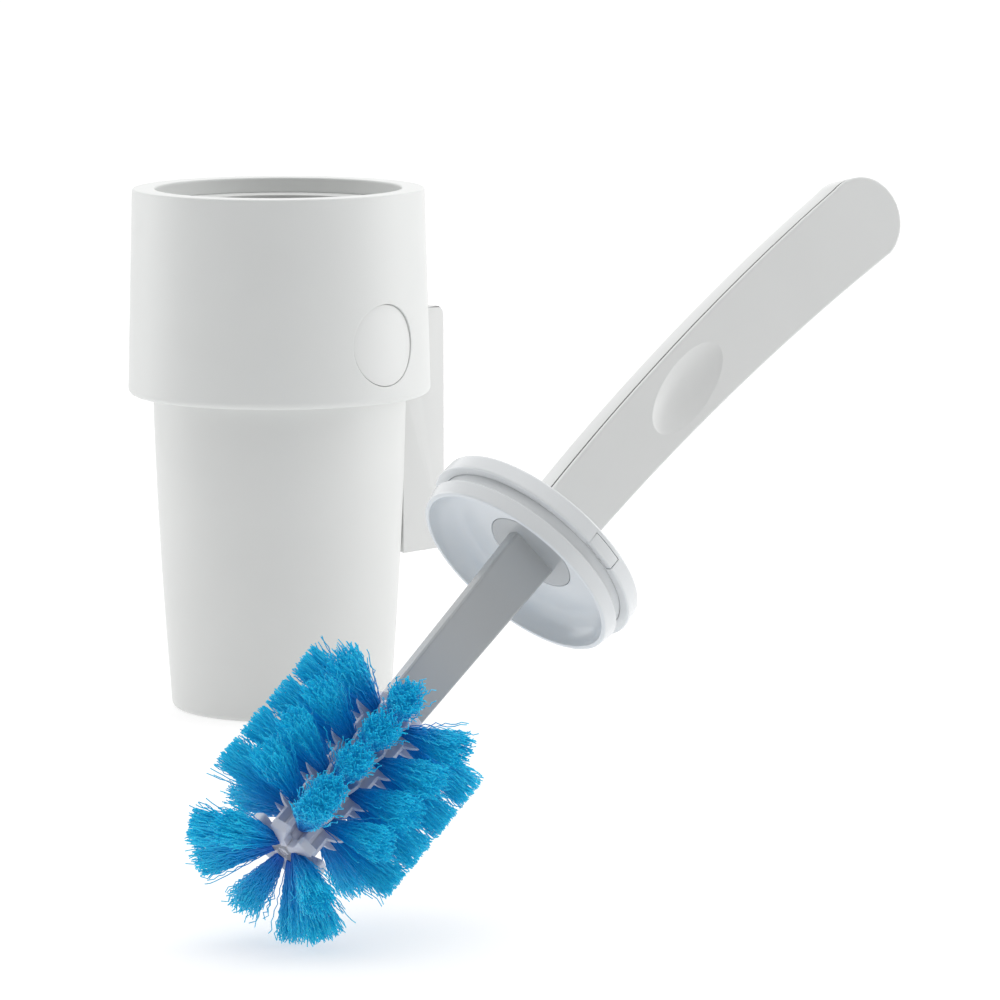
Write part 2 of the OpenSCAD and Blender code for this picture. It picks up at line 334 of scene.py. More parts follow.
@dataclass(frozen=True)
class Nylon:
    """Bristle nylon: deep at the root, bright at the tip, each filament a shade of its own.

    A weak glow stands for the light that passes through the filaments.
    """

    name: str
    root: Colour
    middle: Colour
    tip: Colour
    roughness: float
    stops: tuple[float, float, float] = (0.05, 0.45, 1.0)
    shadow: Colour = (0.42, 0.60, 0.78)
    shadow_share: float = 0.5
    gloss_drift: float = 0.15
    glow: float = 0.10

    def make(self) -> bpy.types.Material:
        """The finished material."""
        made, graph, shader = new_material(self.name)
        along = graph.node("ShaderNodeAttribute", {"attribute_name": "along"})
        shade = graph.val(
            graph.node("ShaderNodeAttribute", {"attribute_name": "shade"}).outputs["Fac"]
        )
        ramp = graph.node(
            "ShaderNodeValToRGB",
            {"stops": list(zip(self.stops, (self.root, self.middle, self.tip)))},
            {0: along.outputs["Fac"]},
        )
        dark = graph.node(
            "ShaderNodeMix",
            {"data_type": "RGBA", "blend_type": "MULTIPLY"},
            {0: shade * self.shadow_share, 6: ramp.outputs[0], 7: self.shadow},
        )
        graph.feed(shader.inputs["Base Color"], dark.outputs[2])
        graph.feed(shader.inputs["Emission Color"], dark.outputs[2])
        shader.inputs["Emission Strength"].default_value = self.glow
        graph.feed(shader.inputs["Roughness"], shade * self.gloss_drift + self.roughness)
        return made


@dataclass(frozen=True)
class Steel:
    """Drawn steel wire and pins, with a fine mottle of darker, smoother marks."""

    name: str
    tint: Colour
    roughness: float
    mark_scale: float = 900.0
    mark_shade: float = 0.75
    gloss_drift: float = 0.2

    def make(self) -> bpy.types.Material:
        """The finished material."""
        made, graph, shader = new_material(self.name)
        where = graph.node("ShaderNodeTexCoord").outputs["Object"]
        marks = graph.node(
            "ShaderNodeTexNoise",
            values={"Vector": where, "Scale": self.mark_scale, "Detail": 4.0},
        )
        fac = graph.val(marks.outputs[0])
        tint = graph.node(
            "ShaderNodeMix",
            {"data_type": "RGBA"},
            {0: fac, 6: tuple(c * self.mark_shade for c in self.tint), 7: self.tint},
        )
        graph.feed(shader.inputs["Base Color"], tint.outputs[2])
        graph.feed(shader.inputs["Roughness"], fac * self.gloss_drift + self.roughness)
        shader.inputs["Metallic"].default_value = 1.0
        return made


@dataclass(frozen=True)
class Paper:
    """Seamless studio floor, lit from behind like a light table so that shadows stay soft."""

    name: str
    tint: Colour
    glow: float
    roughness: float = 0.9
    specular: float = 0.1
    fibre_scale: float = 40.0
    fibre_shade: float = 0.99

    def make(self) -> bpy.types.Material:
        """The finished material."""
        made, graph, shader = new_material(self.name)
        where = graph.node("ShaderNodeTexCoord").outputs["Object"]
        fibre = graph.node(
            "ShaderNodeTexNoise",
            values={"Vector": where, "Scale": self.fibre_scale, "Detail": 3.0},
        )
        tint = graph.node(
            "ShaderNodeMix",
            {"data_type": "RGBA"},
            {
                0: fibre.outputs[0],
                6: tuple(c * self.fibre_shade for c in self.tint),
                7: self.tint,
            },
        )
        graph.feed(shader.inputs["Base Color"], tint.outputs[2])
        shader.inputs["Roughness"].default_value = self.roughness
        shader.inputs["Specular IOR Level"].default_value = self.specular
        shader.inputs["Emission Color"].default_value = (1.0, 1.0, 1.0, 1.0)
        shader.inputs["Emission Strength"].default_value = self.glow
        return made


class Palette:
    """Every finish of the object, made once."""

    def __init__(self) -> None:
        """Makes the materials."""
        self.by_slot: dict[Slot, bpy.types.Material] = {
            Slot.COLLAR: Plastic("satin_collar", (0.745, 0.757, 0.748), 0.42).make(),
            Slot.CUP: Plastic("satin_cup", (0.742, 0.752, 0.742), 0.40).make(),
            Slot.BUTTON: Plastic("satin_button", (0.755, 0.765, 0.757), 0.36).make(),
            Slot.INNER: Plastic("inner_moulding", (0.66, 0.67, 0.665), 0.55).make(),
            Slot.BRACKET: Plastic("matt_bracket", (0.715, 0.722, 0.715), 0.50).make(),
            Slot.STEEL: Steel("drawn_steel", (0.62, 0.62, 0.63), 0.22).make(),
            Slot.LID: Plastic("gloss_lid", (0.76, 0.783, 0.80), 0.26, coat=0.25).make(),
            # the stem's dark tint is partly a greyer plastic and partly painted shade for the
            # shadow of the lid and the bristles
            Slot.STEM: Plastic("gloss_stem_grey_and_painted_shade", (0.47, 0.485, 0.495), 0.26, coat=0.25).make(),
            Slot.HANDLE: Plastic("satin_handle", (0.76, 0.77, 0.765), 0.34, coat=0.1).make(),
            Slot.CORE: Plastic("natural_core", (0.70, 0.70, 0.76), 0.35, glow=0.3).make(),
            Slot.BRISTLE: Nylon(
                "bristle_nylon",
                root=(0.0, 0.12, 0.52),
                middle=(0.0, 0.36, 0.78),
                tip=(0.02, 0.70, 0.96),
                roughness=0.32,
            ).make(),
        }
        # painted shade: a dark material for the faces in the handle's groove, standing for the
        # shadow there
        self.painted_groove_shade = Plastic("parting_shade", (0.16, 0.16, 0.155), 0.7).make()
        self.floor = Paper("studio_paper", (0.50, 0.50, 0.50), glow=0.56).make()

    def dress(self, piece: bpy.types.Object, slot: Slot) -> None:
        """Gives a piece the finish of its material slot.

        Args:
            piece: the object, new or a frame node's.
            slot: its material slot.
        """
        piece.data.materials.clear()
        piece.data.materials.append(self.by_slot[slot])


# ---- Outlines and meshes --------------------------------------------------------------------


@dataclass(frozen=True)
class Corner:
    """A corner of a flat outline and the radius that rounds it."""

    a: float
    b: float
    r: float = 0.0


def rounded(
    corners: Sequence[Corner], closed: bool, steps: int = 5, support: float = 0.15
) -> list[Flat]:
    """Rounds an outline's corners, with a support point on each side of every arc.

    Args:
        corners: the outline's corners in order.
        closed: True if the last corner joins the first.
        steps: segments of each arc.
        support: distance of a support point from the arc's end.

    Returns:
        The rounded outline's points.
    """
    out: list[Flat] = []
    count = len(corners)
    for i, corner in enumerate(corners):
        here = Vector((corner.a, corner.b))
        if corner.r <= 0 or (not closed and i in (0, count - 1)):
            out.append((corner.a, corner.b))
            continue
        before = Vector((corners[i - 1].a, corners[i - 1].b)) - here
        after = Vector((corners[(i + 1) % count].a, corners[(i + 1) % count].b)) - here
        half = before.angle(after) / 2
        reach = corner.r / math.tan(half)
        u, v = before.normalized(), after.normalized()
        centre = here + (u + v).normalized() * corner.r / math.sin(half)
        start, end = here + u * reach - centre, here + v * reach - centre
        turn = start.angle_signed(end)
        if before.length > reach + 3 * support:
            out.append(tuple(here + u * (reach + support)))
        for k in range(steps + 1):
            out.append(tuple(centre + Matrix.Rotation(-turn * k / steps, 2) @ start))
        if after.length > reach + 3 * support:
            out.append(tuple(here + v * (reach + support)))
    return out


def angles_round(count: int) -> list[float]:
    """Even angles round a full turn."""
    return [math.tau * k / count for k in range(count)]


class Sketch:
    """Points in millimetres and the faces between them."""

    def __init__(self) -> None:
        """Starts with nothing."""
        self.points: list[Vector] = []
        self.faces: list[tuple[int, ...]] = []

    def loop(self, points: Iterable[Sequence[float]]) -> list[int]:
        """Adds points.

        Args:
            points: the points' coordinates.

        Returns:
            Their indices.
        """
        first = len(self.points)
        self.points.extend(Vector(p) for p in points)
        return list(range(first, len(self.points)))

    def bridge(self, one: Sequence[int], two: Sequence[int]) -> None:
        """Joins two closed loops of one length, or a loop and a single point.

        Args:
            one: indices of the first loop.
            two: indices of the second loop.
        """
        count = max(len(one), len(two))
        for i in range(count):
            j = (i + 1) % count
            quad = [one[i % len(one)], one[j % len(one)], two[j % len(two)], two[i % len(two)]]
            kept = [k for n, k in enumerate(quad) if k not in quad[:n]]
            if len(kept) > 2:
                self.faces.append(tuple(kept))

    def skin(self, loops: Sequence[Sequence[int]]) -> None:
        """Joins a row of loops one after another."""
        for one, two in zip(loops, loops[1:]):
            self.bridge(one, two)

    def lathe(self, profile: Sequence[Flat], closed: bool = False, segments: int = 160) -> None:
        """Turns a profile of radius and height about Z.

        Args:
            profile: the points; a radius of zero is a pole.
            closed: True for a ring's closed profile.
            segments: steps round the axis.
        """

        def turned(r: float, z: float) -> list[Sequence[float]]:
            """A point of the profile, turned to a ring, or its pole."""
            if r < POLE_R:
                return [(0.0, 0.0, z)]
            return [(r * math.cos(a), r * math.sin(a), z) for a in angles_round(segments)]

        loops = [self.loop(turned(r, z)) for r, z in profile]
        self.skin(loops + loops[:1] if closed else loops)

    def slab(self, layers: Sequence[Sequence[Sequence[float]]]) -> None:
        """Skins a stack of outlines and closes both ends.

        Args:
            layers: outlines of one length, each a list of points.
        """
        loops = [self.loop(layer) for layer in layers]
        self.skin(loops)
        self.fill(loops[0])
        self.fill(loops[-1])

    def fill(self, outer: Sequence[int], hole: Sequence[int] = ()) -> None:
        """Fills a flat loop with triangles, round a hole if there is one.

        Args:
            outer: indices of the outer loop.
            hole: indices of the hole's loop.
        """
        rings = [[self.points[i] for i in ring] for ring in (outer, hole) if len(ring)]
        order = [*outer, *hole]
        self.faces.extend(tuple(order[i] for i in tri) for tri in tessellate_polygon(rings))

    def round_patch(
        self,
        border: Sequence[int],
        flat: Sequence[Flat],
        ring: Callable[[float], Flat],
        place: Callable[[float, float], Sequence[float]],
    ) -> list[int]:
        """Fills between a border and a round inner loop with rings of quads.

        Args:
            border: indices of the border loop.
            flat: its points in the flat coordinates that place takes.
            ring: the inner loop's point at an angle, in flat coordinates.
            place: from flat coordinates to the surface.

        Returns:
            Indices of the inner loop.
        """
        middle = Vector((sum(p[0] for p in flat), sum(p[1] for p in flat))) / len(flat)
        inner = [Vector(ring(math.atan2(b - middle.y, a - middle.x))) for a, b in flat]
        loops = [list(border)]
        for share in PATCH_SHARES:
            mixed = [i.lerp(Vector(o), share) for i, o in zip(inner, flat)]
            loops.append(self.loop(place(p.x, p.y) for p in mixed))
        self.skin(loops)
        return loops[-1]

    def build(
        self, name: str, place: Matrix | None = None, sharp: float = 38.0
    ) -> bpy.types.Object:
        """Turns the sketch into an object at the origin, in metres.

        Args:
            name: the piece's name.
            place: the sketch's place in the holder's frame, in millimetres.
            sharp: edges that turn by more than this many degrees stay crisp.

        Returns:
            The new object.
        """
        mesh = bpy.data.meshes.new(name)
        turn = place or Matrix.Identity(4)
        mesh.from_pydata([turn @ p * MM for p in self.points], [], self.faces)
        piece = bpy.data.objects.new(name, mesh)
        bpy.context.scene.collection.objects.link(piece)
        tidy(piece, sharp)
        return piece


def tidy(piece: bpy.types.Object, sharp: float) -> None:
    """Merges doubles, turns the faces outwards and sets the smoothing.

    Args:
        piece: a closed mesh.
        sharp: edges that turn by more than this many degrees stay crisp.
    """
    work = bmesh.new()
    work.from_mesh(piece.data)
    bmesh.ops.remove_doubles(work, verts=work.verts, dist=MERGE_DISTANCE)
    bmesh.ops.recalc_face_normals(work, faces=work.faces)
    work.to_mesh(piece.data)
    work.free()
    piece.data.polygons.foreach_set("use_smooth", [True] * len(piece.data.polygons))
    piece.data.set_sharp_from_angle(angle=math.radians(sharp))
    piece.data.update()


def applied(piece: bpy.types.Object) -> bpy.types.Object:
    """Replaces a piece's mesh by its evaluated one and clears its modifiers.

    Args:
        piece: an object with live modifiers.

    Returns:
        The same object.
    """
    graph = bpy.context.evaluated_depsgraph_get()
    mesh = bpy.data.meshes.new_from_object(piece.evaluated_get(graph))
    mesh.name = piece.name
    piece.modifiers.clear()
    piece.data = mesh
    return piece


def lay(piece: bpy.types.Object, place: Matrix) -> None:
    """Moves a piece's mesh.

    Args:
        piece: the piece, its mesh in metres.
        place: the move in millimetres.
    """
    piece.data.transform(Matrix.Scale(MM, 4) @ place @ Matrix.Scale(1 / MM, 4))
    piece.data.update()


def block(low: Sequence[float], high: Sequence[float], name: str) -> bpy.types.Object:
    """A cutter with square corners.

    Args:
        low: lowest corner.
        high: highest corner.
        name: the object's name.

    Returns:
        The cutter.
    """
    (left, front, bottom), (right, back, top) = low, high
    sketch = Sketch()
    sketch.slab(
        [
            [(left, front, z), (right, front, z), (right, back, z), (left, back, z)]
            for z in (bottom, top)
        ]
    )
    return sketch.build(name)


def drum(radius: float, low: float, high: float, name: str) -> bpy.types.Object:
    """A round cutter about Z.

    Args:
        radius: its radius.
        low: height of its lower end.
        high: height of its upper end.
        name: the object's name.

    Returns:
        The cutter.
    """
    sketch = Sketch()
    sketch.lathe([(0.0, low), (radius, low), (radius, high), (0.0, high)], segments=128)
    return sketch.build(name)


def carve(piece: bpy.types.Object, cutters: Sequence[bpy.types.Object]) -> None:
    """Cuts solids out of a piece and removes them.

    Args:
        piece: the piece to cut.
        cutters: the solids taken away from it.
    """
    for cutter in cutters:
        cut = piece.modifiers.new(cutter.name, "BOOLEAN")
        cut.operation = "DIFFERENCE"
        cut.solver = "EXACT"
        cut.object = cutter
    applied(piece)
    for cutter in cutters:
        bpy.data.objects.remove(cutter)


def soften(piece: bpy.types.Object, width: float, angle: float = 35.0) -> None:
    """Rounds a piece's crisp edges.

    Args:
        piece: the piece.
        width: width of the rounding.
        angle: edges that turn by more than this many degrees are rounded.
    """
    edge = piece.modifiers.new("edge_round", "BEVEL")
    edge.width = width * MM
    edge.segments = 3
    edge.limit_method = "ANGLE"
    edge.angle_limit = math.radians(angle)
    edge.use_clamp_overlap = False
    applied(piece)
    tidy(piece, angle)


# ---- Geometry Nodes -------------------------------------------------------------------------


class Grower:
    """A Geometry Nodes tree with named inputs, run on a starting mesh."""

    def __init__(self, name: str, inputs: Mapping[str, str]) -> None:
        """Makes the tree and its interface.

        Args:
            name: the tree's name.
            inputs: socket type by input name, after the starting geometry.
        """
        self.tree = bpy.data.node_groups.new(name, "GeometryNodeTree")
        face = self.tree.interface
        face.new_socket("Start", in_out="INPUT", socket_type="NodeSocketGeometry")
        self.keys = {
            label: face.new_socket(label, in_out="INPUT", socket_type=kind).identifier
            for label, kind in inputs.items()
        }
        face.new_socket("Result", in_out="OUTPUT", socket_type="NodeSocketGeometry")
        self.graph = Graph(self.tree)
        self.source = self.graph.node("NodeGroupInput")

    def given(self, label: str) -> Val:
        """The tree's input of that name."""
        return self.graph.val(self.source.outputs[label])

    def finish(self, made: bpy.types.NodeSocket) -> None:
        """Realizes the result, gives it its material and ends the tree.

        Args:
            made: the geometry.
        """
        real = self.graph.node("GeometryNodeRealizeInstances", values={0: made})
        dressed = self.graph.node(
            "GeometryNodeSetMaterial",
            values={"Geometry": real.outputs[0], "Material": self.given("Material")},
        )
        self.graph.node("NodeGroupOutput", values={0: dressed.outputs[0]})

    def run(self, piece: bpy.types.Object, values: Mapping[str, object]) -> bpy.types.Object:
        """Runs the tree on a piece and keeps the plain mesh.

        Args:
            piece: holds the starting mesh.
            values: the inputs' values by name.

        Returns:
            The same object.
        """
        grown = piece.modifiers.new(self.tree.name, "NODES")
        grown.node_group = self.tree
        for label, value in values.items():
            grown[self.keys[label]] = value
        return applied(piece)


def tuft_tree() -> Grower:
    """The tree that grows crimped filaments from tuft roots.

    Each starting point carries the vectors "aim" (root to tip), "side" and "rise" across it.

    Returns:
        The tree.
    """
    stray_power, stray_gain = 7.0, 1.1
    cut_power, cut_share = 2.0, 0.24
    swing_share, ease_power = 0.22, 0.8
    real, whole = "NodeSocketFloat", "NodeSocketInt"
    tree = Grower(
        "tufts",
        {
            "Filaments": whole,
            "Steps": whole,
            "Seed": whole,
            "Thickness": real,
            "Root Spread": real,
            "Tip Spread": real,
            "Crimp": real,
            "Crimp Length": real,
            "Material": "NodeSocketMaterial",
        },
    )
    graph = tree.graph
    copies = graph.node(
        "GeometryNodeDuplicateElements",
        {"domain": "POINT"},
        {"Geometry": tree.source.outputs["Start"], "Amount": tree.given("Filaments")},
    )

    def chance(step: int) -> Val:
        """A fixed random number from 0 to 1 for each filament."""
        made = graph.node(
            "FunctionNodeRandomValue",
            {"data_type": "FLOAT"},
            {"Seed": tree.given("Seed") + float(step)},
        )
        return graph.val(made.outputs[1])

    def named(label: str, kind: str) -> bpy.types.NodeSocket:
        """A named attribute of the point."""
        return graph.node(
            "GeometryNodeInputNamedAttribute", {"data_type": kind}, {"Name": label}
        ).outputs[0]

    def arrow(label: str) -> bpy.types.NodeSocket:
        """A named vector of the point."""
        return named(label, "FLOAT_VECTOR")

    def scaled(vector: bpy.types.NodeSocket, factor: Val) -> bpy.types.NodeSocket:
        """A vector times a number."""
        return graph.vector("SCALE", vector, factor)

    def kept(
        source: bpy.types.NodeSocket, label: str, kind: str, value: object
    ) -> bpy.types.NodeSocket:
        """Stores an attribute on the points."""
        return graph.node(
            "GeometryNodeStoreNamedAttribute",
            {"data_type": kind, "domain": "POINT"},
            {"Geometry": source, "Name": label, "Value": value},
        ).outputs[0]

    angle = chance(1) * math.tau
    radius = chance(2) ** 0.5
    across = graph.vector(
        "ADD",
        scaled(arrow("side"), angle.math("COSINE") * radius),
        scaled(arrow("rise"), angle.math("SINE") * radius),
    )
    stray = chance(3) ** stray_power * stray_gain + 1.0
    place = graph.node("GeometryNodeInputPosition").outputs[0]
    root = graph.vector("ADD", place, scaled(across, tree.given("Root Spread")))
    length = 1.0 - chance(4) ** cut_power * cut_share
    lean = graph.vector(
        "ADD", scaled(arrow("aim"), length), scaled(across, tree.given("Tip Spread") * stray)
    )
    points = kept(copies.outputs[0], "root", "FLOAT_VECTOR", root)
    points = kept(points, "lean", "FLOAT_VECTOR", lean)
    points = kept(points, "shade", "FLOAT", chance(5))
    points = kept(points, "phase", "FLOAT", chance(6))
    wire = graph.node("GeometryNodeCurvePrimitiveLine", values={"End": (0.0, 0.0, MM)})
    fine = graph.node(
        "GeometryNodeResampleCurve",
        values={"Curve": wire.outputs[0], "Count": tree.given("Steps")},
    )
    set_out = graph.node(
        "GeometryNodeInstanceOnPoints", values={"Points": points, "Instance": fine.outputs[0]}
    )
    wires = graph.node("GeometryNodeRealizeInstances", values={0: set_out.outputs[0]})
    along = graph.val(graph.node("GeometryNodeSplineParameter").outputs["Factor"])
    phase = graph.val(named("phase", "FLOAT"))
    travel = graph.node(
        "ShaderNodeVectorMath", {"operation": "LENGTH"}, {0: arrow("lean")}
    ).outputs["Value"]
    turns = along * graph.val(travel).math("DIVIDE", tree.given("Crimp Length"))
    own = graph.node("ShaderNodeCombineXYZ", values={0: turns, 1: phase * 83.0, 2: phase * 29.0})
    wobble = graph.node(
        "ShaderNodeTexNoise", values={"Vector": own.outputs[0], "Scale": 1.0, "Detail": 1.0}
    )
    swing = (turns * math.tau + phase * math.tau).math("SINE") * swing_share
    ease = along**ease_power * tree.given("Crimp")
    bend = graph.vector(
        "ADD",
        graph.vector("SUBTRACT", wobble.outputs["Color"], (0.5, 0.5, 0.5)),
        scaled(arrow("side"), swing),
    )
    straight = graph.vector("ADD", arrow("root"), scaled(arrow("lean"), along))
    path = graph.vector("ADD", straight, scaled(bend, ease))
    laid = graph.node(
        "GeometryNodeSetPosition", values={"Geometry": wires.outputs[0], "Position": path}
    )
    marked = kept(laid.outputs[0], "along", "FLOAT", along)
    rim = graph.node(
        "GeometryNodeCurvePrimitiveCircle",
        values={"Resolution": 3, "Radius": tree.given("Thickness")},
    )
    tubes = graph.node(
        "GeometryNodeCurveToMesh",
        values={"Curve": marked, "Profile Curve": rim.outputs[0], "Fill Caps": True},
    )
    tree.finish(tubes.outputs[0])
    return tree


def ring_tree() -> Grower:
    """The tree that repeats the starting mesh round Z.

    Returns:
        The tree.
    """
    tree = Grower("round_repeat", {"Count": "NodeSocketInt", "Material": "NodeSocketMaterial"})
    graph = tree.graph
    seats = graph.node("GeometryNodePoints", values={"Count": tree.given("Count")})
    index = graph.val(graph.node("GeometryNodeInputIndex").outputs[0])
    turn = (index * math.tau).math("DIVIDE", tree.given("Count"))
    spin = graph.node("ShaderNodeCombineXYZ", values={2: turn})
    turned = graph.node("FunctionNodeEulerToRotation", values={0: spin.outputs[0]})
    copies = graph.node(
        "GeometryNodeInstanceOnPoints",
        values={
            "Points": seats.outputs[0],
            "Instance": tree.source.outputs["Start"],
            "Rotation": turned.outputs[0],
        },
    )
    tree.finish(copies.outputs[0])
    return tree


def coil_tree() -> Grower:
    """The tree that winds a wire spring along Z.

    Returns:
        The tree.
    """
    real = "NodeSocketFloat"
    sizes = {label: real for label in ("Turns", "Radius", "Height", "Wire")}
    tree = Grower("coil", {**sizes, "Material": "NodeSocketMaterial"})
    graph = tree.graph
    path = graph.node(
        "GeometryNodeCurveSpiral",
        values={
            "Resolution": 24,
            "Rotations": tree.given("Turns"),
            "Start Radius": tree.given("Radius"),
            "End Radius": tree.given("Radius"),
            "Height": tree.given("Height"),
        },
    )
    rim = graph.node(
        "GeometryNodeCurvePrimitiveCircle", values={"Resolution": 8, "Radius": tree.given("Wire")}
    )
    wire = graph.node(
        "GeometryNodeCurveToMesh",
        values={"Curve": path.outputs[0], "Profile Curve": rim.outputs[0], "Fill Caps": True},
    )
    tree.finish(wire.outputs[0])
    return tree


# ---- Sub-assemblies -------------------------------------------------------------------------


@dataclass
class Assembly:
    """Common ground of the sub-assemblies: finishes and the way pieces are handed over."""

    palette: Palette

    def hand_over(
        self, piece: bpy.types.Object, body: Body, slot: Slot, nodes: Sequence[str]
    ) -> bpy.types.Object:
        """Dresses a piece, hides the nodes that it stands for and lets it ride.

        Args:
            piece: the finished object.
            body: the body that it rides on.
            slot: its material slot.
            nodes: the frame nodes that it replaces.

        Returns:
            The same object.
        """
        self.palette.dress(piece, slot)
        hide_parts(*nodes)
        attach(piece, body.value)
        log.info("%s: %d faces on %s", piece.name, len(piece.data.polygons), body.value)
        return piece

    def keep(self, node: str, slot: Slot) -> None:
        """Dresses a frame node that is shown as it is.

        Args:
            node: the node's name.
            slot: its material slot.
        """
        self.palette.dress(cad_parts[node], slot)
        log.info("%s: kept from the frame", node)


@dataclass
class Cup(Assembly):
    """The bowed, tapered cup and the ring in its mouth that the lid rests on."""

    base_r: float = 43.4
    taper: float = 0.08
    bow: float = 0.00022
    bow_low: float = 10.0
    bow_high: float = 125.0
    bow_steps: int = 22
    neck_r: float = 49.8
    wall: float = 2.5
    floor_t: float = 3.0
    floor_round: float = 3.5
    top: float = 196.0
    foot_r: float = 36.2
    foot_slope: float = 1.2
    foot_rise: float = 0.7
    foot_round: float = 2.3
    seat_r: float = 37.8
    seat_t: float = 4.0
    tube_t: float = 2.0
    tube_drop: float = 4.0
    skirt_gap: float = 0.2
    skirt_t: float = 2.2
    skirt_drop: float = 8.0

    def radius(self, z: float) -> float:
        """Outer radius at a height."""
        return min(self.neck_r, self.base_r + self.taper * z - self.bow * z * z)

    def build(self) -> None:
        """Builds and hands over the cup's pieces."""
        self.shell()
        self.seat()

    def shell(self) -> None:
        """Builds the cup, hollow under its foot."""
        span = self.bow_high - self.bow_low
        rise = [self.bow_low + span * k / self.bow_steps for k in range(self.bow_steps + 1)]
        corners = [
            Corner(0, self.foot_rise),
            Corner(self.foot_r - self.foot_slope, self.foot_rise, 0.5),
            Corner(self.foot_r, 0.0, 0.5),
            Corner(self.base_r + 0.05, 0.0, self.foot_round),
            *[Corner(self.radius(z), z) for z in rise],
            Corner(self.neck_r, self.top, 0.6),
            Corner(self.neck_r - self.wall, self.top, 0.6),
            *[Corner(self.radius(z) - self.wall, z) for z in reversed(rise)],
            Corner(self.base_r - self.wall + 0.2, self.floor_t, self.floor_round),
            Corner(0, self.floor_t),
        ]
        shell = Sketch()
        shell.lathe(rounded(corners, closed=False))
        self.hand_over(shell.build("cup_shell"), Body.CUP, Slot.CUP, ["cup"])

    def seat(self) -> None:
        """Builds the ring on the cup's mouth, with its inner tube and its skirt."""
        skirt = self.neck_r - self.wall - self.skirt_gap
        corners = [
            Corner(self.seat_r, self.top - self.tube_drop, 0.4),
            Corner(self.seat_r + self.tube_t, self.top - self.tube_drop, 0.4),
            Corner(self.seat_r + self.tube_t, self.top, 0.3),
            Corner(skirt - self.skirt_t, self.top, 0.2),
            Corner(skirt - self.skirt_t, self.top - self.skirt_drop, 0.3),
            Corner(skirt, self.top - self.skirt_drop, 0.4),
            Corner(skirt, self.top),
            Corner(self.neck_r, self.top, 0.2),
            Corner(self.neck_r, self.top + self.seat_t, 0.5),
            Corner(self.seat_r, self.top + self.seat_t, 0.45),
        ]
        seat = Sketch()
        seat.lathe(rounded(corners, closed=True, support=0.1), closed=True)
        self.hand_over(seat.build("mouth_ring"), Body.CUP, Slot.CUP, ["seat_ring"])


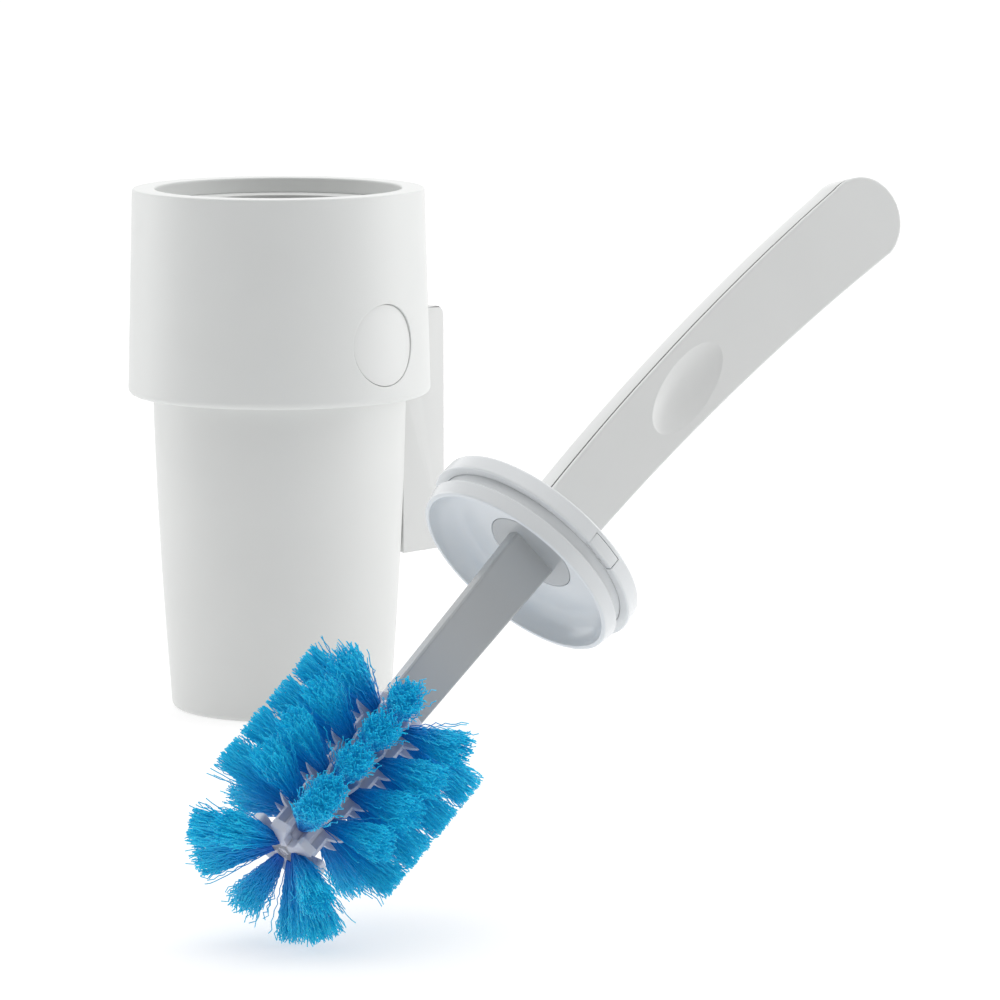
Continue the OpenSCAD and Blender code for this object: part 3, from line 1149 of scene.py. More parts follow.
@dataclass
class Collar(Assembly):
    """The thick-lipped sleeve with its button window, its hook and the ring at its foot."""

    low: float = 125.0
    top: float = 206.0
    top_r: float = 57.5
    flare: float = 2.2
    rim: float = 9.0
    lip: float = 6.0
    wall: float = 3.2
    low_round: float = 2.4
    top_round: float = 0.8
    columns: int = 192
    window_columns: int = 10
    window_z: float = 148.0
    window_r: float = 16.0
    window_reach: float = 19.0
    window_rows: int = 10
    edge: float = 0.35
    edge_steps: int = 3
    foot_inner: float = 50.3
    foot_outer: float = 56.3
    foot_low: float = 0.4
    foot_high: float = 2.6
    hook_low: float = 131.0
    hook_high: float = 151.0
    web_half: float = 4.2
    web_front: float = 55.3
    tee_half: float = 14.4
    tee_front: float = 62.8
    tee_back: float = 64.7

    def radius(self, z: float) -> float:
        """Outer radius at a height."""
        return self.top_r + self.flare * (self.top - z) / (self.top - self.low)

    def on_wall(self, y: float, z: float, inset: float) -> Sequence[float]:
        """The point of the wall, moved inwards, at a place seen along the button's axis."""
        return (math.sqrt((self.radius(z) - inset) ** 2 - y * y), y, z)

    def turned(self, r: float, z: float) -> list[Vector]:
        """One ring of the sleeve's grid."""
        return [Vector((r * math.cos(a), r * math.sin(a), z)) for a in angles_round(self.columns)]

    def build(self) -> None:
        """Builds and hands over the sleeve and the ring at its foot."""
        self.sleeve()
        self.foot()

    def sleeve(self) -> None:
        """Builds the sleeve, its window and its hook."""
        rows = [
            self.window_z + self.window_reach * (2 * k / self.window_rows - 1)
            for k in range(self.window_rows + 1)
        ]
        inner_top = self.top - self.lip
        opening = self.top_r - self.rim
        corners = [
            Corner(self.radius(self.low) - self.wall, self.low, 0.4),
            Corner(self.radius(self.low), self.low, self.low_round),
            *[Corner(self.radius(z), z) for z in rows],
            Corner(self.top_r, self.top, self.top_round),
            Corner(opening, self.top, self.top_round),
            Corner(opening, inner_top, 0.3),
            Corner(self.radius(inner_top) - self.wall, inner_top),
            *[Corner(self.radius(z) - self.wall, z) for z in reversed(rows)],
        ]
        profile = rounded(corners, closed=True)
        sketch = Sketch()
        loops = [sketch.loop(self.turned(r, z)) for r, z in profile]
        reach = self.window_columns
        flat_rows = {
            i: (r, z)
            for i, (r, z) in enumerate(profile)
            if any(abs(z - row) < 1e-9 for row in rows)
        }
        walls = [
            [i for i, (r, _) in flat_rows.items() if (r > self.top_r) == outer]
            for outer in (True, False)
        ]
        for i, one in enumerate(loops):
            two = loops[(i + 1) % len(loops)]
            windowed = any(i in wall and i + 1 in wall for wall in walls)
            for k in range(self.columns):
                if windowed and (k + reach) % self.columns < 2 * reach:
                    continue
                n = (k + 1) % self.columns
                sketch.faces.append((one[k], one[n], two[n], two[k]))
        rims = [self.window(sketch, loops, profile, wall, n) for n, wall in enumerate(walls)]
        sketch.bridge(*rims)
        self.hook(sketch)
        self.hand_over(sketch.build("collar_sleeve"), Body.COLLAR, Slot.COLLAR, ["collar"])

    def foot(self) -> None:
        """Builds the ring that closes the gap between the sleeve's foot and the cup."""
        low, high = self.low + self.foot_low, self.low + self.foot_high
        corners = [
            Corner(self.foot_inner, low, 0.5),
            Corner(self.foot_outer, low),
            Corner(self.foot_outer, high),
            Corner(self.foot_inner, high, 0.3),
        ]
        foot = Sketch()
        foot.lathe(rounded(corners, closed=True), closed=True)
        self.hand_over(foot.build("foot_ring"), Body.COLLAR, Slot.COLLAR, ["collar_base_ring"])

    def window(
        self,
        sketch: Sketch,
        loops: Sequence[Sequence[int]],
        profile: Sequence[Flat],
        wall: Sequence[int],
        side: int,
    ) -> list[int]:
        """Fills round the window on one wall.

        Args:
            sketch: the sleeve.
            loops: its rings.
            profile: radius and height of each ring.
            wall: the rings that cross the window.
            side: 0 for the outer wall, whose edge is rounded, 1 for the inner one.

        Returns:
            The window's edge loop.
        """
        reach = self.window_columns
        wall = sorted(wall, key=lambda i: profile[i][1])
        low, high = wall[0], wall[-1]
        walk = [(low, k) for k in range(-reach, reach)]
        walk += [(i, reach) for i in wall[:-1]]
        walk += [(high, k) for k in range(reach, -reach, -1)]
        walk += [(i, -reach) for i in reversed(wall[1:])]
        step = math.tau / self.columns
        border = [loops[i][k % self.columns] for i, k in walk]
        flat = [(profile[i][0] * math.sin(k * step), profile[i][1]) for i, k in walk]
        inset = side * self.wall
        grown = self.window_r + (0.0 if side else self.edge)

        def ring(radius: float) -> Callable[[float], Flat]:
            """A circle about the window's middle."""
            return lambda a: (radius * math.cos(a), self.window_z + radius * math.sin(a))

        edge = sketch.round_patch(
            border, flat, ring(grown), lambda y, z: self.on_wall(y, z, inset)
        )
        if side:
            return edge
        angles = [math.atan2(z - self.window_z, y) for y, z in flat]
        for k in range(1, self.edge_steps + 1):
            turn = math.pi / 2 * k / self.edge_steps
            circle = ring(grown - self.edge * math.sin(turn))
            depth = self.edge * (1 - math.cos(turn))
            loop = sketch.loop(self.on_wall(*circle(a), depth) for a in angles)
            sketch.bridge(edge, loop)
            edge = loop
        return edge

    def hook(self, sketch: Sketch) -> None:
        """Adds the T-shaped hook to the sleeve's back."""
        half = [
            Corner(self.web_half, self.web_front),
            Corner(self.web_half, self.tee_front, 0.5),
            Corner(self.tee_half, self.tee_front, 0.4),
            Corner(self.tee_half, self.tee_back, 0.4),
        ]
        other = [Corner(-corner.a, corner.b, corner.r) for corner in reversed(half)]
        tee = rounded([*other[-1:], *half, *other[:-1]], closed=True, steps=3)
        low, high = self.hook_low, self.hook_high
        sketch.slab([[(x, y, z) for x, y in tee] for z in (low, low + 0.1, high - 0.1, high)])


@dataclass
class Button(Assembly):
    """The round button, sunk a little deeper at its top, with its pin, spring and guide."""

    collar: Collar
    r: float = 15.8
    thick: float = 2.2
    sink: float = 0.5
    tilt: float = 0.45
    edge: float = 0.35
    pin_r: float = 3.0
    pin_end: float = 54.1
    pin_edge: float = 0.4
    rim_steps: int = 120
    edge_steps: int = 4
    face_shares: tuple[float, ...] = (0.1, 0.25, 0.45, 0.65, 0.85, 1.0)
    spring_low: float = 51.8
    spring_high: float = 56.1
    spring_r: float = 4.0
    spring_turns: float = 3.5
    wire: float = 0.35

    def depth(self, z: float) -> float:
        """How far the face lies under the sleeve's surface at a height."""
        return self.sink + self.tilt * (z - self.collar.window_z) / self.r

    def circle(self, radius: float, extra: float) -> list[Sequence[float]]:
        """One ring of the button on the sleeve's taper, sunk by a further amount."""
        middle = self.collar.window_z
        spots = [
            (radius * math.cos(a), middle + radius * math.sin(a))
            for a in angles_round(self.rim_steps)
        ]
        return [self.collar.on_wall(y, z, self.depth(z) + extra) for y, z in spots]

    def build(self) -> None:
        """Builds and hands over the button and its spring."""
        middle, edge = self.collar.window_z, self.pin_edge
        rings = [[self.collar.on_wall(0.0, middle, self.depth(middle))]]
        rings += [self.circle((self.r - self.edge) * share, 0.0) for share in self.face_shares]
        for k in range(1, self.edge_steps + 1):
            turn = math.pi / 2 * k / self.edge_steps
            inset, drop = self.edge * (1 - math.sin(turn)), self.edge * (1 - math.cos(turn))
            rings.append(self.circle(self.r - inset, drop))
        rings += [self.circle(radius, self.thick) for radius in (self.r, self.pin_r + edge)]
        for x, radius in ((self.pin_end + edge, self.pin_r), (self.pin_end, self.pin_r - edge)):
            rings.append(
                [
                    (x, radius * math.cos(a), middle + radius * math.sin(a))
                    for a in angles_round(self.rim_steps)
                ]
            )
        rings.append([(self.pin_end, 0.0, middle)])
        sketch = Sketch()
        sketch.skin([sketch.loop(ring) for ring in rings])
        piece = sketch.build("button_disc")
        self.hand_over(piece, Body.BUTTON, Slot.BUTTON, ["release_button"])
        self.spring()
        self.keep("button_guide", Slot.INNER)

    def spring(self) -> None:
        """Winds the return spring."""
        seed = Sketch()
        seed.loop([(0.0, 0.0, 0.0)])
        piece = seed.build("return_spring")
        coil_tree().run(
            piece,
            {
                "Turns": self.spring_turns,
                "Radius": self.spring_r * MM,
                "Height": (self.spring_high - self.spring_low - 2 * self.wire) * MM,
                "Wire": self.wire * MM,
                "Material": self.palette.by_slot[Slot.STEEL],
            },
        )
        place = Matrix.Translation((self.spring_low + self.wire, 0, self.collar.window_z))
        lay(piece, place @ Matrix.Rotation(math.pi / 2, 4, "Y"))
        tidy(piece, 60.0)
        self.hand_over(piece, Body.COLLAR, Slot.STEEL, ["button_spring"])
        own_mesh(piece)


@dataclass
class Bracket(Assembly):
    """The wall bracket, hollowed to fit the cup and the sleeve, and its screwed plate."""

    width: float = 50.0
    wall_y: float = 68.0
    low: float = 58.0
    top: float = 156.0
    back_round: float = 4.0
    cheek: float = 3.0
    plate_t: float = 3.0
    step_z: float = 124.3
    cup_r: float = 50.8
    collar_r: float = 60.3
    front: float = 40.0
    edge: float = 0.45
    rim: float = 2.0
    cavity_front: float = 54.5
    cavity_back: float = 66.0
    cavity_rim: float = 4.0
    channel_low: float = 130.8
    channel_half: float = 15.0
    channel_front: float = 62.1
    slot_half: float = 4.6
    slot_front: float = 49.8
    slot_back: float = 63.0
    plate_gap: float = 0.1
    plate_edge: float = 0.3
    screw_pitch: float = 60.0
    screw_hole: tuple[Flat, ...] = ((0, -1), (2.5, -1), (2.5, 1.4), (4.6, 3.5), (4.6, 5), (0, 5))

    def build(self) -> None:
        """Builds and hands over the bracket and its plate."""
        half, inner = self.width / 2, self.width / 2 - self.cheek
        plate_y = self.wall_y - self.plate_t
        side = rounded(
            [
                Corner(self.front, self.low),
                Corner(self.wall_y, self.low, 0.8),
                Corner(self.wall_y, self.top, self.back_round),
                Corner(self.front, self.top),
            ],
            closed=True,
            steps=8,
        )
        sketch = Sketch()
        sketch.slab([[(x, y, z) for y, z in side] for x in (-half, half)])
        piece = sketch.build("bracket_body")

        def hollow(name: str, wide: float, front: Flat, back: Flat) -> bpy.types.Object:
            """A cutter between two corners of the bracket's side view, as wide each way."""
            return block((-wide, *front), (wide, *back), name)

        pocket_low, pocket_top = self.low + self.rim, self.top - self.rim
        cavity_low, cavity_top = self.low + self.cavity_rim, self.step_z - self.rim
        slot, channel = self.slot_half, self.channel_half
        carve(
            piece,
            [
                drum(self.cup_r, 0, BEYOND, "cup_clear"),
                drum(self.collar_r, self.step_z, BEYOND, "collar_clear"),
                hollow("pocket", inner, (plate_y, pocket_low), (self.wall_y + 12, pocket_top)),
                hollow(
                    "cavity", inner, (self.cavity_front, cavity_low), (self.cavity_back, cavity_top)
                ),
                hollow(
                    "channel",
                    channel,
                    (self.channel_front, self.channel_low),
                    (plate_y + 0.01, BEYOND),
                ),
                hollow(
                    "web_slot", slot, (self.slot_front, self.channel_low), (self.slot_back, BEYOND)
                ),
            ],
        )
        soften(piece, self.edge)
        self.hand_over(piece, Body.BRACKET, Slot.BRACKET, ["wall_bracket"])
        self.plate(inner - self.plate_gap, plate_y)

    def plate(self, half: float, front: float) -> None:
        """Builds the plate that is screwed to the wall.

        Args:
            half: half of its width.
            front: place of its front face.
        """
        margin = self.rim + self.plate_gap
        low, high = self.low + margin, self.top - margin
        corners = [(-half, low), (half, low), (half, high), (-half, high)]
        outline = rounded([Corner(x, z, 2) for x, z in corners], closed=True)
        sketch = Sketch()
        sketch.slab([[(x, y, z) for x, z in outline] for y in (front, self.wall_y)])
        piece = sketch.build("screw_plate")
        cutters = []
        for up in (-1, 1):
            hole = Sketch()
            hole.lathe(self.screw_hole, segments=48)
            mid = (low + high) / 2 + up * self.screw_pitch / 2
            turn = Matrix.Rotation(math.pi / 2, 4, "X")
            place = Matrix.Translation((0, self.wall_y, mid)) @ turn
            cutters.append(hole.build(f"screw_hole_{up}", place))
        carve(piece, cutters)
        soften(piece, self.plate_edge)
        self.hand_over(piece, Body.BRACKET, Slot.BRACKET, ["wall_plate"])


@dataclass
class Brush(Assembly):
    """Sizes and the leaning place that the parts of the brush share."""

    at: tuple[float, float, float] = (320.0, -209.5, 111.2)
    lean: float = 40.0
    heading: float = 82.5
    roll: float = 166.0
    lid_top: float = 15.5
    stem_t: float = 6.0
    disc_r: float = 15.7
    disc_top: float = 11.8
    recess: float = 9.0

    @property
    def place(self) -> Matrix:
        """From the brush's own frame to the holder's."""
        return (
            Matrix.Translation(self.at)
            @ Matrix.Rotation(math.radians(self.heading), 4, "Z")
            @ Matrix.Rotation(math.radians(90 - self.lean), 4, "Y")
            @ Matrix.Rotation(math.radians(self.roll), 4, "Z")
        )


@dataclass
class Lid(Brush):
    """The lid: dished plug, flanged cap and the small key in the flange."""

    plug_r: float = 37.5
    flange_r: float = 39.2
    flange_low: float = 9.2
    lip: float = 1.1
    lip_w: float = 1.6
    lip_h: float = 5.0
    groove: float = 1.9
    groove_h: float = 0.6
    dish_r: float = 25.5
    dish_turn: float = 7.5
    dish_steps: int = 12
    cap_gap: float = 0.1
    segments: int = 200
    key_angle: float = 97.0
    key_w: float = 12.0
    key_h: float = 4.2
    key_in: float = 3.0
    key_gap: float = 0.22

    def build(self) -> None:
        """Builds and hands over the lid's pieces."""
        self.plug()
        self.cap()
        self.key()

    def plug(self) -> None:
        """Builds the dished plug, with the groove under the flange."""
        low_r, groove = self.plug_r - self.lip, self.plug_r - self.groove
        rim, inner = low_r - self.lip_w, self.disc_r + 0.1
        turns = [math.radians(90 - self.dish_turn * k) for k in range(self.dish_steps)]
        corners = [
            Corner(inner, self.recess, 0.3),
            *[
                Corner(self.dish_r + (rim - self.dish_r) * math.cos(a), self.recess * math.sin(a))
                for a in turns
            ],
            Corner(rim, 0.0, 0.35),
            Corner(low_r, 0.0, 0.7),
            Corner(self.plug_r, self.lip_h, 0.45),
            Corner(groove, self.lip_h + self.groove_h, 0.4),
            Corner(groove, self.disc_top),
            Corner(inner, self.disc_top),
        ]
        plug = Sketch()
        outline = rounded(corners, closed=True, support=0.12)
        plug.lathe(outline, closed=True, segments=self.segments)
        self.hand_over(plug.build("lid_dish", self.place), Body.HANDLE, Slot.LID, ["lid_plug"])

    def cap(self) -> None:
        """Builds the flanged cap, with a slot for the key in its edge."""
        groove = self.plug_r - self.groove + self.cap_gap
        bottom = self.disc_top + self.cap_gap
        corners = [
            Corner(0, bottom),
            Corner(groove, bottom),
            Corner(groove, self.flange_low, 0.2),
            Corner(self.flange_r, self.flange_low, 0.6),
            Corner(self.flange_r - 0.5, self.lid_top, 0.9),
            Corner(0, self.lid_top),
        ]
        cap = Sketch()
        cap.lathe(rounded(corners, closed=False, support=0.12), segments=self.segments)
        piece = cap.build("lid_flange")
        carve(piece, [self.key_block(self.key_gap, 8.0, "key_slot")])
        tidy(piece, 38.0)
        lay(piece, self.place)
        self.hand_over(piece, Body.HANDLE, Slot.LID, ["lid_cap"])

    def key_block(self, grow: float, out: float, name: str) -> bpy.types.Object:
        """The key's block at the flange's edge.

        Args:
            grow: how much larger than the key on every side.
            out: how far it reaches outwards.
            name: the object's name.

        Returns:
            The block, in the brush's own frame.
        """
        inner, half, low = self.flange_r - self.key_in, self.key_w / 2, self.flange_low + 0.1
        made = block(
            (inner - grow, -half - grow, low - grow),
            (inner + out, half + grow, low + self.key_h + grow),
            name,
        )
        made.data.transform(Matrix.Rotation(math.radians(self.key_angle), 4, "Z"))
        made.data.update()
        return made

    def key(self) -> None:
        """Builds the key, flush with the flange's edge."""
        piece = self.key_block(0.0, 6.0, "flange_key")
        hull = Sketch()
        hull.lathe(
            [(self.flange_r - 0.2, 0), (self.flange_r - 0.4, 20), (60, 20), (60, 0)],
            closed=True,
            segments=360,
        )
        carve(piece, [hull.build("flange_outside")])
        soften(piece, 0.18)
        lay(piece, self.place)
        self.hand_over(piece, Body.HANDLE, Slot.LID, ["lid_key"])


@dataclass
class Stem(Brush):
    """The flat tapering bar with its disc, tang and spigot."""

    width_top: float = 18.4
    width_end: float = 15.6
    end: float = -62.0
    spigot_r: float = 3.5
    spigot: float = 34.0
    tang_w: float = 13.0
    tang_top: float = 46.0
    corner: float = 0.9
    root: float = 1.0

    def build(self) -> None:
        """Builds and hands over the stem."""
        sketch = Sketch()
        low, high = self.end, self.recess + self.root

        def section(z: float, width: float, shrink: float) -> list[Sequence[float]]:
            """A rounded oblong across the bar."""
            a, b = width / 2 - shrink, self.stem_t / 2 - shrink
            spots = [(-a, -b), (a, -b), (a, b), (-a, b)]
            corners = [Corner(x, y, self.corner) for x, y in spots]
            return [(x, y, z) for x, y in rounded(corners, closed=True, steps=4)]

        slope = (self.width_top - self.width_end) / (high - low)
        stations = [(low, 0.8), (low + 0.25, 0.35), (low + 0.8, 0.0), (high, 0.0)]
        sketch.slab([section(z, self.width_end + slope * (z - low), cut) for z, cut in stations])
        sketch.slab([section(z, self.tang_w, 0.0) for z in (self.recess, self.tang_top)])
        disc = [
            Corner(0, self.recess),
            Corner(self.disc_r, self.recess, 0.3),
            Corner(self.disc_r, self.disc_top),
            Corner(0, self.disc_top),
        ]
        sketch.lathe(rounded(disc, closed=False), segments=96)
        spigot = [
            Corner(0, low - self.spigot),
            Corner(self.spigot_r, low - self.spigot, 0.8),
            Corner(self.spigot_r, low + self.root),
            Corner(0, low + self.root),
        ]
        sketch.lathe(rounded(spigot, closed=False), segments=48)
        piece = sketch.build("stem_bar", self.place)
        self.hand_over(piece, Body.HANDLE, Slot.STEM, ["stem"])
        self.keep("cross_pin", Slot.STEEL)


@dataclass
class Handle(Brush):
    """The bowed blade: a rounded back and a front plate with a groove and a thumb dimple."""

    length: float = 180.0
    half_low: float = 11.0
    tip_r: float = 15.0
    thick: float = 16.0
    bow: float = 0.00053
    bow_from: float = 20.0
    seam: float = 5.2
    seam_h: float = 1.0
    dimple_z: float = 88.0
    dimple_len: float = 38.0
    dimple_w: float = 17.0
    dimple_depth: float = 2.5
    dimple_steps: int = 96
    dimple_rings: int = 13
    back_round: float = 4.2
    back_steps: int = 8
    front_round: float = 0.8
    front_steps: int = 5
    side_steps: int = 40
    tip_steps: int = 36

    @property
    def tip_z(self) -> float:
        """Height of the middle of the round tip."""
        return self.lid_top + self.length - self.tip_r

    def centre(self, z: float) -> float:
        """The bowed centre line."""
        return -self.bow * max(0.0, z - self.bow_from) ** 2

    def outline(self, inset: float, y: float) -> list[Sequence[float]]:
        """The blade's outline, moved inwards.

        Args:
            inset: distance that it is moved inwards at the sides and the tip.
            y: the layer's place.

        Returns:
            The outline's points.
        """
        low, tip = self.lid_top, self.tip_z

        def half(z: float) -> float:
            """Half of the blade's width at a height."""
            return self.half_low + (self.tip_r - self.half_low) * (z - low) / (tip - low) - inset

        side = [low + (tip - low) * k / self.side_steps for k in range(self.side_steps + 1)]
        arc = [math.pi * k / self.tip_steps for k in range(1, self.tip_steps)]
        radius = self.tip_r - inset
        out = [(self.centre(z) + half(z), y, z) for z in side]
        out += [
            (self.centre(tip) + radius * math.cos(a), y, tip + radius * math.sin(a)) for a in arc
        ]
        out += [(self.centre(z) - half(z), y, z) for z in reversed(side)]
        return out

    def build(self) -> None:
        """Builds and hands over both halves of the handle."""
        back = Sketch()
        low, seam, edge = -self.thick / 2, self.seam, self.back_round
        layers = [(edge + 0.2, low)]
        for k in range(self.back_steps + 1):
            turn = math.pi / 2 * k / self.back_steps
            layers.append((edge * (1 - math.sin(turn)), low + edge * (1 - math.cos(turn))))
        layers += [(0.0, seam - 0.2), (0.04, seam - 0.05), (0.12, seam), (2.2, seam)]
        back.slab([self.outline(inset, y) for inset, y in layers])
        piece = back.build("handle_shell", self.place, sharp=50.0)
        self.hand_over(piece, Body.HANDLE, Slot.HANDLE, ["handle_back"])
        self.shade(piece, lambda y, facing: y > seam - 0.01)
        self.plate()

    def shade(self, piece: bpy.types.Object, inside: Callable[[float, float], bool]) -> None:
        """Paints the faces in the groove with a dark material: painted shade for the shadow in the
        groove.

        Args:
            piece: one half of the handle, already dressed.
            inside: whether a face lies in the groove, from its place in the handle's
                thickness and from how far it faces the front.
        """
        piece.data.materials.append(self.palette.painted_groove_shade)
        back = self.place.inverted()
        for face in piece.data.polygons:
            facing = (back.to_3x3() @ face.normal).y
            if inside((back @ (face.center / MM)).y, facing):
                # painted shade: these groove faces get the dark material
                face.material_index = 1

    def plate(self) -> None:
        """Builds the front plate with its dimple."""
        sketch = Sketch()
        top, edge = self.thick / 2, self.front_round
        start = self.seam + self.seam_h
        layers = [(2.0, self.seam - 0.4), (2.0, start), (0.12, start), (0.04, start + 0.05)]
        layers.append((0.0, start + 0.2))
        for k in range(self.front_steps + 1):
            turn = math.pi / 2 * k / self.front_steps
            layers.append((edge * (1 - math.cos(turn)), top - edge * (1 - math.sin(turn))))
        layers.append((edge + 0.2, top))
        loops = [sketch.loop(self.outline(inset, y)) for inset, y in layers]
        sketch.skin(loops)
        sketch.fill(loops[0])
        rings = self.dimple(sketch, top)
        sketch.skin(rings)
        sketch.fill(loops[-1], rings[0])
        piece = sketch.build("handle_plate", self.place, sharp=50.0)
        self.hand_over(piece, Body.HANDLE, Slot.HANDLE, ["handle_front"])
        self.shade(piece, lambda y, facing: y < start + 0.01 and facing < 0.3)

    def dimple(self, sketch: Sketch, top: float) -> list[list[int]]:
        """Adds the dimple's rings, from the plate's face to its bottom.

        Args:
            sketch: the plate.
            top: place of the plate's face.

        Returns:
            The rings' indices.
        """
        bow_turn = math.atan(2 * self.bow * (self.dimple_z - self.bow_from))
        middle = Vector((self.centre(self.dimple_z) - 0.3, self.dimple_z))
        tilt = Matrix.Rotation(-bow_turn, 2)
        half_w, half_len = self.dimple_w / 2, self.dimple_len / 2

        def ring(wide: float, long: float, depth: float) -> list[int]:
            """One ellipse of the dimple, from its half axes and its depth."""
            spots = [
                middle + tilt @ Vector((wide * math.cos(a), long * math.sin(a)))
                for a in angles_round(self.dimple_steps)
            ]
            return sketch.loop((x, top - depth, z) for x, z in spots)

        edge_drop = 0.1
        rings = [
            ring(half_w + grow, half_len + grow, depth)
            for grow, depth in ((0.45, 0.0), (0.25, 0.0), (0.08, 0.03), (-0.08, edge_drop))
        ]
        for k in range(1, self.dimple_rings):
            share = 1 - k / self.dimple_rings
            drop = edge_drop + (self.dimple_depth - edge_drop) * (1 - share**2.2)
            rings.append(ring(share * half_w, share * half_len, drop))
        rings.append(sketch.loop([(middle.x, top - self.dimple_depth, middle.y)]))
        return rings


@dataclass
class Head(Brush):
    """The bristle head: hub, toothed fins with flared ends, and eight rows of tufts.

    Every row ends in a tuft that splays past the hub's end, but for one, whose last tuft
    stands straight and leaves the star in view.
    """

    hub_r: float = 6.5
    hub_top: float = -62.0
    hub_end: float = -124.0
    rows: int = 8
    tufts: int = 4
    first: float = -69.5
    pitch: float = 13.5
    reach: float = 35.0
    fin_reach: float = 9.0
    tooth_reach: float = 14.5
    tooth_w: float = 7.0
    tooth_shares: tuple[float, ...] = (-1.0, -0.8, -0.5, -0.2, 0.0, 0.2, 0.5, 0.8, 1.0)
    fin_root: float = 4.5
    fin_half: float = 1.35
    fin_taper: float = 0.09
    bore_r: float = 3.55
    bore: float = 34.5
    arm: tuple[tuple[float, float, float], ...] = (
        (1.5, 3.0, 0.0),
        (5.2, 2.6, 2.0),
        (8.8, 1.7, 3.0),
        (12.6, 3.0, 1.2),
        (14.4, 3.3, 0.9),
        (14.5, 0.6, 2.0),
    )
    arm_low: float = 0.6
    arm_high: float = 2.6
    end_lean: float = 30.5
    end_reach: float = 32.8
    end_up: float = 3.0
    upright_row: int = 2
    upright_up: float = 7.5
    tuft_sink: float = 0.6
    filaments: int = 330
    steps: int = 14
    filament_r: float = 0.19
    root_spread: float = 1.4
    tip_spread: float = 4.3
    crimp: float = 2.9
    crimp_length: float = 4.2

    def build(self) -> None:
        """Builds and hands over the core and every row of bristles."""
        self.core()
        tree = tuft_tree()
        for row in range(1, self.rows + 1):
            piece = tree.run(
                self.roots(row),
                {
                    "Filaments": self.filaments,
                    "Steps": self.steps,
                    "Seed": 40 * row,
                    "Thickness": self.filament_r * MM,
                    "Root Spread": self.root_spread * MM,
                    "Tip Spread": self.tip_spread * MM,
                    "Crimp": self.crimp * MM,
                    "Crimp Length": self.crimp_length * MM,
                    "Material": self.palette.by_slot[Slot.BRISTLE],
                },
            )
            piece.data.polygons.foreach_set("use_smooth", [True] * len(piece.data.polygons))
            self.hand_over(piece, Body.HEAD, Slot.BRISTLE, [f"bristle_row_{row}"])

    def core(self) -> None:
        """Builds the hub and repeats one toothed fin round it."""
        fin = Sketch()
        self.add_fin(fin)
        self.add_arm(fin)
        piece = fin.build("brush_hub")
        ring_tree().run(
            piece, {"Count": self.rows, "Material": self.palette.by_slot[Slot.CORE]}
        )
        end, top = self.hub_end, self.hub_top
        corners = [
            Corner(0, end - 0.2),
            Corner(3.0, end - 0.2, 0.5),
            Corner(self.hub_r, end + 2, 0.8),
            Corner(self.hub_r, top - 4, 0.8),
            Corner(self.hub_r - 1, top, 0.6),
            Corner(self.bore_r, top, 0.3),
            Corner(self.bore_r, top - self.bore),
            Corner(0, top - self.bore),
        ]
        hub = Sketch()
        hub.lathe(rounded(corners, closed=False), segments=72)
        middle = hub.build("hub_middle")
        work = bmesh.new()
        work.from_mesh(piece.data)
        work.from_mesh(middle.data)
        work.to_mesh(piece.data)
        work.free()
        bpy.data.objects.remove(middle)
        lay(piece, self.place)
        tidy(piece, 35.0)
        self.hand_over(piece, Body.HEAD, Slot.CORE, ["brush_core"])

    def add_fin(self, sketch: Sketch) -> None:
        """Adds one fin, thinner towards its toothed edge."""
        top, bottom = self.first + self.pitch / 2, self.hub_end + 2
        half, tall = self.tooth_w / 2, self.tooth_reach - self.fin_reach
        edge: list[Flat] = [(self.fin_reach, top)]
        for k in range(self.tufts):
            z = self.first - self.pitch * k
            for share in self.tooth_shares:
                rise = (1 - share * share) ** 0.8
                edge.append((self.fin_reach + tall * rise, z - half * share))
        outline = [
            (self.fin_root, top + 1.5),
            *edge,
            (self.fin_reach, bottom),
            (self.fin_root, bottom),
        ]

        def thickness(r: float) -> float:
            """Half of the fin's thickness at a radius."""
            return self.fin_half - self.fin_taper * (r - self.fin_root)

        sketch.slab([[(r, side * thickness(r), z) for r, z in outline] for side in (-1.0, 1.0)])

    def add_arm(self, sketch: Sketch) -> None:
        """Adds one flared arm of the star at the head's end."""
        corners = [Corner(*corner) for corner in self.arm]
        half = rounded(corners, closed=False, steps=4, support=0.0)
        outline = half + [(r, -y) for r, y in reversed(half)]
        low, high = self.hub_end - self.arm_low, self.hub_end + self.arm_high
        flare, widest = 13.0, 3.2
        layers = [(low, 0.5), (low + 0.15, 0.22), (low + 0.5, 0.0), (high, 0.0)]
        sketch.slab(
            [
                [(r - cut * (r > flare), y * (1 - cut / widest), z) for r, y in outline]
                for z, cut in layers
            ]
        )

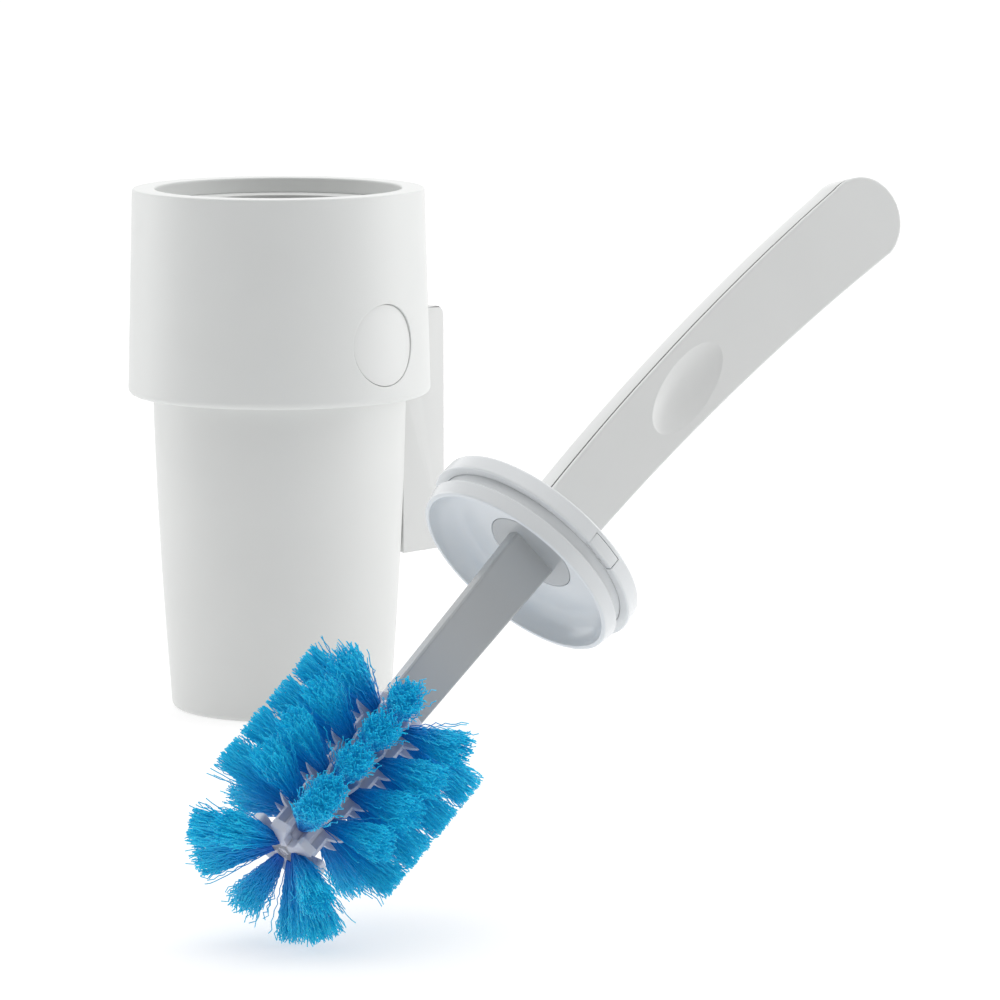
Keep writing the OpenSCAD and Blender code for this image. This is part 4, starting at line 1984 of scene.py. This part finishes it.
    def roots(self, row: int) -> bpy.types.Object:
        """The starting points of one row's tufts, with their directions.

        Args:
            row: number of the row, from 1.

        Returns:
            A mesh of loose points with the attributes that the tree reads.
        """
        turn = math.radians(360 / self.rows * (row - 0.5))
        out = Vector((math.cos(turn), math.sin(turn), 0))
        side = Vector((-math.sin(turn), math.cos(turn), 0))
        up = Vector((0, 0, 1))
        tufts = [(self.first - self.pitch * k, 0.0, self.reach) for k in range(self.tufts)]
        if row == self.upright_row:
            tufts.append((self.hub_end + self.upright_up, 0.0, self.reach))
        else:
            tufts.append((self.hub_end + self.end_up, self.end_lean, self.end_reach))
        start = self.hub_r - self.tuft_sink
        spots, aims, rises = [], [], []
        for z, lean, reach in tufts:
            a = math.radians(lean)
            aim = out * math.cos(a) - up * math.sin(a)
            spots.append(up * z + aim * start)
            aims.append(aim * (reach - start))
            rises.append(out * math.sin(a) + up * math.cos(a))
        sketch = Sketch()
        sketch.loop(spots)
        piece = sketch.build(f"tuft_row_{row}", self.place)
        turned = self.place.to_3x3()
        for label, vectors in (("aim", aims), ("side", [side] * len(spots)), ("rise", rises)):
            scale = MM if label == "aim" else 1.0
            made = piece.data.attributes.new(label, "FLOAT_VECTOR", "POINT")
            for item, vector in zip(made.data, vectors):
                item.vector = turned @ vector * scale
        return piece


# ---- Studio ---------------------------------------------------------------------------------


@dataclass(frozen=True)
class Softbox:
    """A square softbox, placed from the middle of the scene as the camera sees it, in metres."""

    name: str
    across: float
    away: float
    rise: float
    power: float
    size: float = 1.0

    def hang(self, aim: Vector, right: Vector, back: Vector) -> None:
        """Hangs the softbox and turns it to the scene's middle.

        Args:
            aim: the point it faces.
            right: the camera's right.
            back: from the scene towards the camera.
        """
        spot = aim + right * self.across - back * self.away + Vector((0, 0, self.rise))
        data = bpy.data.lights.new(self.name, "AREA")
        data.size = self.size
        data.energy = self.power
        made = bpy.data.objects.new(self.name, data)
        made.location = spot
        made.rotation_mode = "QUATERNION"
        made.rotation_quaternion = (aim - spot).to_track_quat("-Z", "Y")
        made.visible_camera = False
        bpy.context.scene.collection.objects.link(made)


@dataclass
class Studio:
    """Floor, light and camera."""

    palette: Palette
    eye: tuple[float, float, float] = (1.48365, -1.46820, 0.38090)
    right: tuple[float, float, float] = (0.73252, 0.68074, -0.00098)
    up: tuple[float, float, float] = (-0.09594, 0.10467, 0.98987)
    lens: float = 191.3
    sensor: float = 36.0
    clip: Flat = (0.05, 60.0)
    floor_half: float = 14000.0
    sky_all: float = 0.20
    sky_back: float = 1.3
    sky_top: float = 1.9
    middle: tuple[float, float, float] = (0.1, -0.1, 0.15)
    boxes: tuple[Softbox, ...] = (
        Softbox("box_right", across=1.25, away=0.25, rise=0.3, power=7.0),
        Softbox("box_left", across=-1.25, away=0.5, rise=0.2, power=5.8),
    )

    def build(self) -> None:
        """Sets up the whole stage."""
        self.camera()
        self.floor()
        self.sky()
        right, back = Vector(self.right), Vector(self.right).cross(Vector(self.up))
        for box in self.boxes:
            box.hang(Vector(self.middle), right, back)
        scene = bpy.context.scene
        scene.view_settings.view_transform = "Standard"
        scene.view_settings.look = "None"
        scene.view_settings.exposure = 0.0
        scene.view_settings.gamma = 1.0

    def camera(self) -> None:
        """Makes the camera."""
        data = bpy.data.cameras.new("camera")
        data.lens = self.lens
        data.sensor_width = self.sensor
        data.clip_start, data.clip_end = self.clip
        made = bpy.data.objects.new("camera", data)
        right, up = Vector(self.right).normalized(), Vector(self.up).normalized()
        turn = Matrix((right, up, right.cross(up))).transposed()
        made.matrix_world = Matrix.Translation(self.eye) @ turn.to_4x4()
        bpy.context.scene.collection.objects.link(made)
        bpy.context.scene.camera = made

    def floor(self) -> None:
        """Lays the seamless floor."""
        half = self.floor_half
        sketch = Sketch()
        corners = [(-half, -half, 0), (half, -half, 0), (half, half, 0), (-half, half, 0)]
        sketch.fill(sketch.loop(corners))
        piece = sketch.build("studio_floor")
        piece.data.materials.append(self.palette.floor)
        if piece.data.polygons[0].normal.z < 0:
            piece.data.flip_normals()
        piece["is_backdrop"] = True

    def sky(self) -> None:
        """Lights the room, most from behind; what the camera sees of it is plain white."""
        world = bpy.data.worlds.new("studio_sky")
        bpy.context.scene.world = world
        world.use_nodes = True
        world.node_tree.nodes.clear()
        graph = Graph(world.node_tree)
        way = graph.node(
            "ShaderNodeSeparateXYZ",
            values={0: graph.node("ShaderNodeTexCoord").outputs["Generated"]},
        )
        back = Vector(self.up).cross(Vector(self.right)).normalized()
        level = graph.val(way.outputs[0]) * back.x + graph.val(way.outputs[1]) * back.y
        behind = level.math("MAXIMUM", 0.0)
        high = graph.val(way.outputs[2]).math("MAXIMUM", 0.0)
        light = behind**2.0 * self.sky_back + high**4.0 * self.sky_top + self.sky_all
        seen = graph.val(graph.node("ShaderNodeLightPath").outputs["Is Camera Ray"])
        strength = seen + light * (1 - seen)
        shine = graph.node(
            "ShaderNodeBackground", values={"Color": (1.0, 1.0, 1.0), "Strength": strength}
        )
        graph.node("ShaderNodeOutputWorld", values={"Surface": shine.outputs[0]})


def main() -> None:
    """Builds every sub-assembly and the stage."""
    logging.basicConfig(level=logging.INFO, format="%(name)s: %(message)s")
    palette = Palette()
    collar = Collar(palette)
    makers = [
        Cup(palette),
        collar,
        Button(palette, collar),
        Bracket(palette),
        Lid(palette),
        Stem(palette),
        Handle(palette),
        Head(palette),
        Studio(palette),
    ]
    for maker in makers:
        maker.build()
    boxes = {"cad": CAD_BOX, "shown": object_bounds()}
    {key: [list(low), list(high)] for key, (low, high) in boxes.items()}
    log.info("boxes written")


if __name__ == "__main__":
    main()
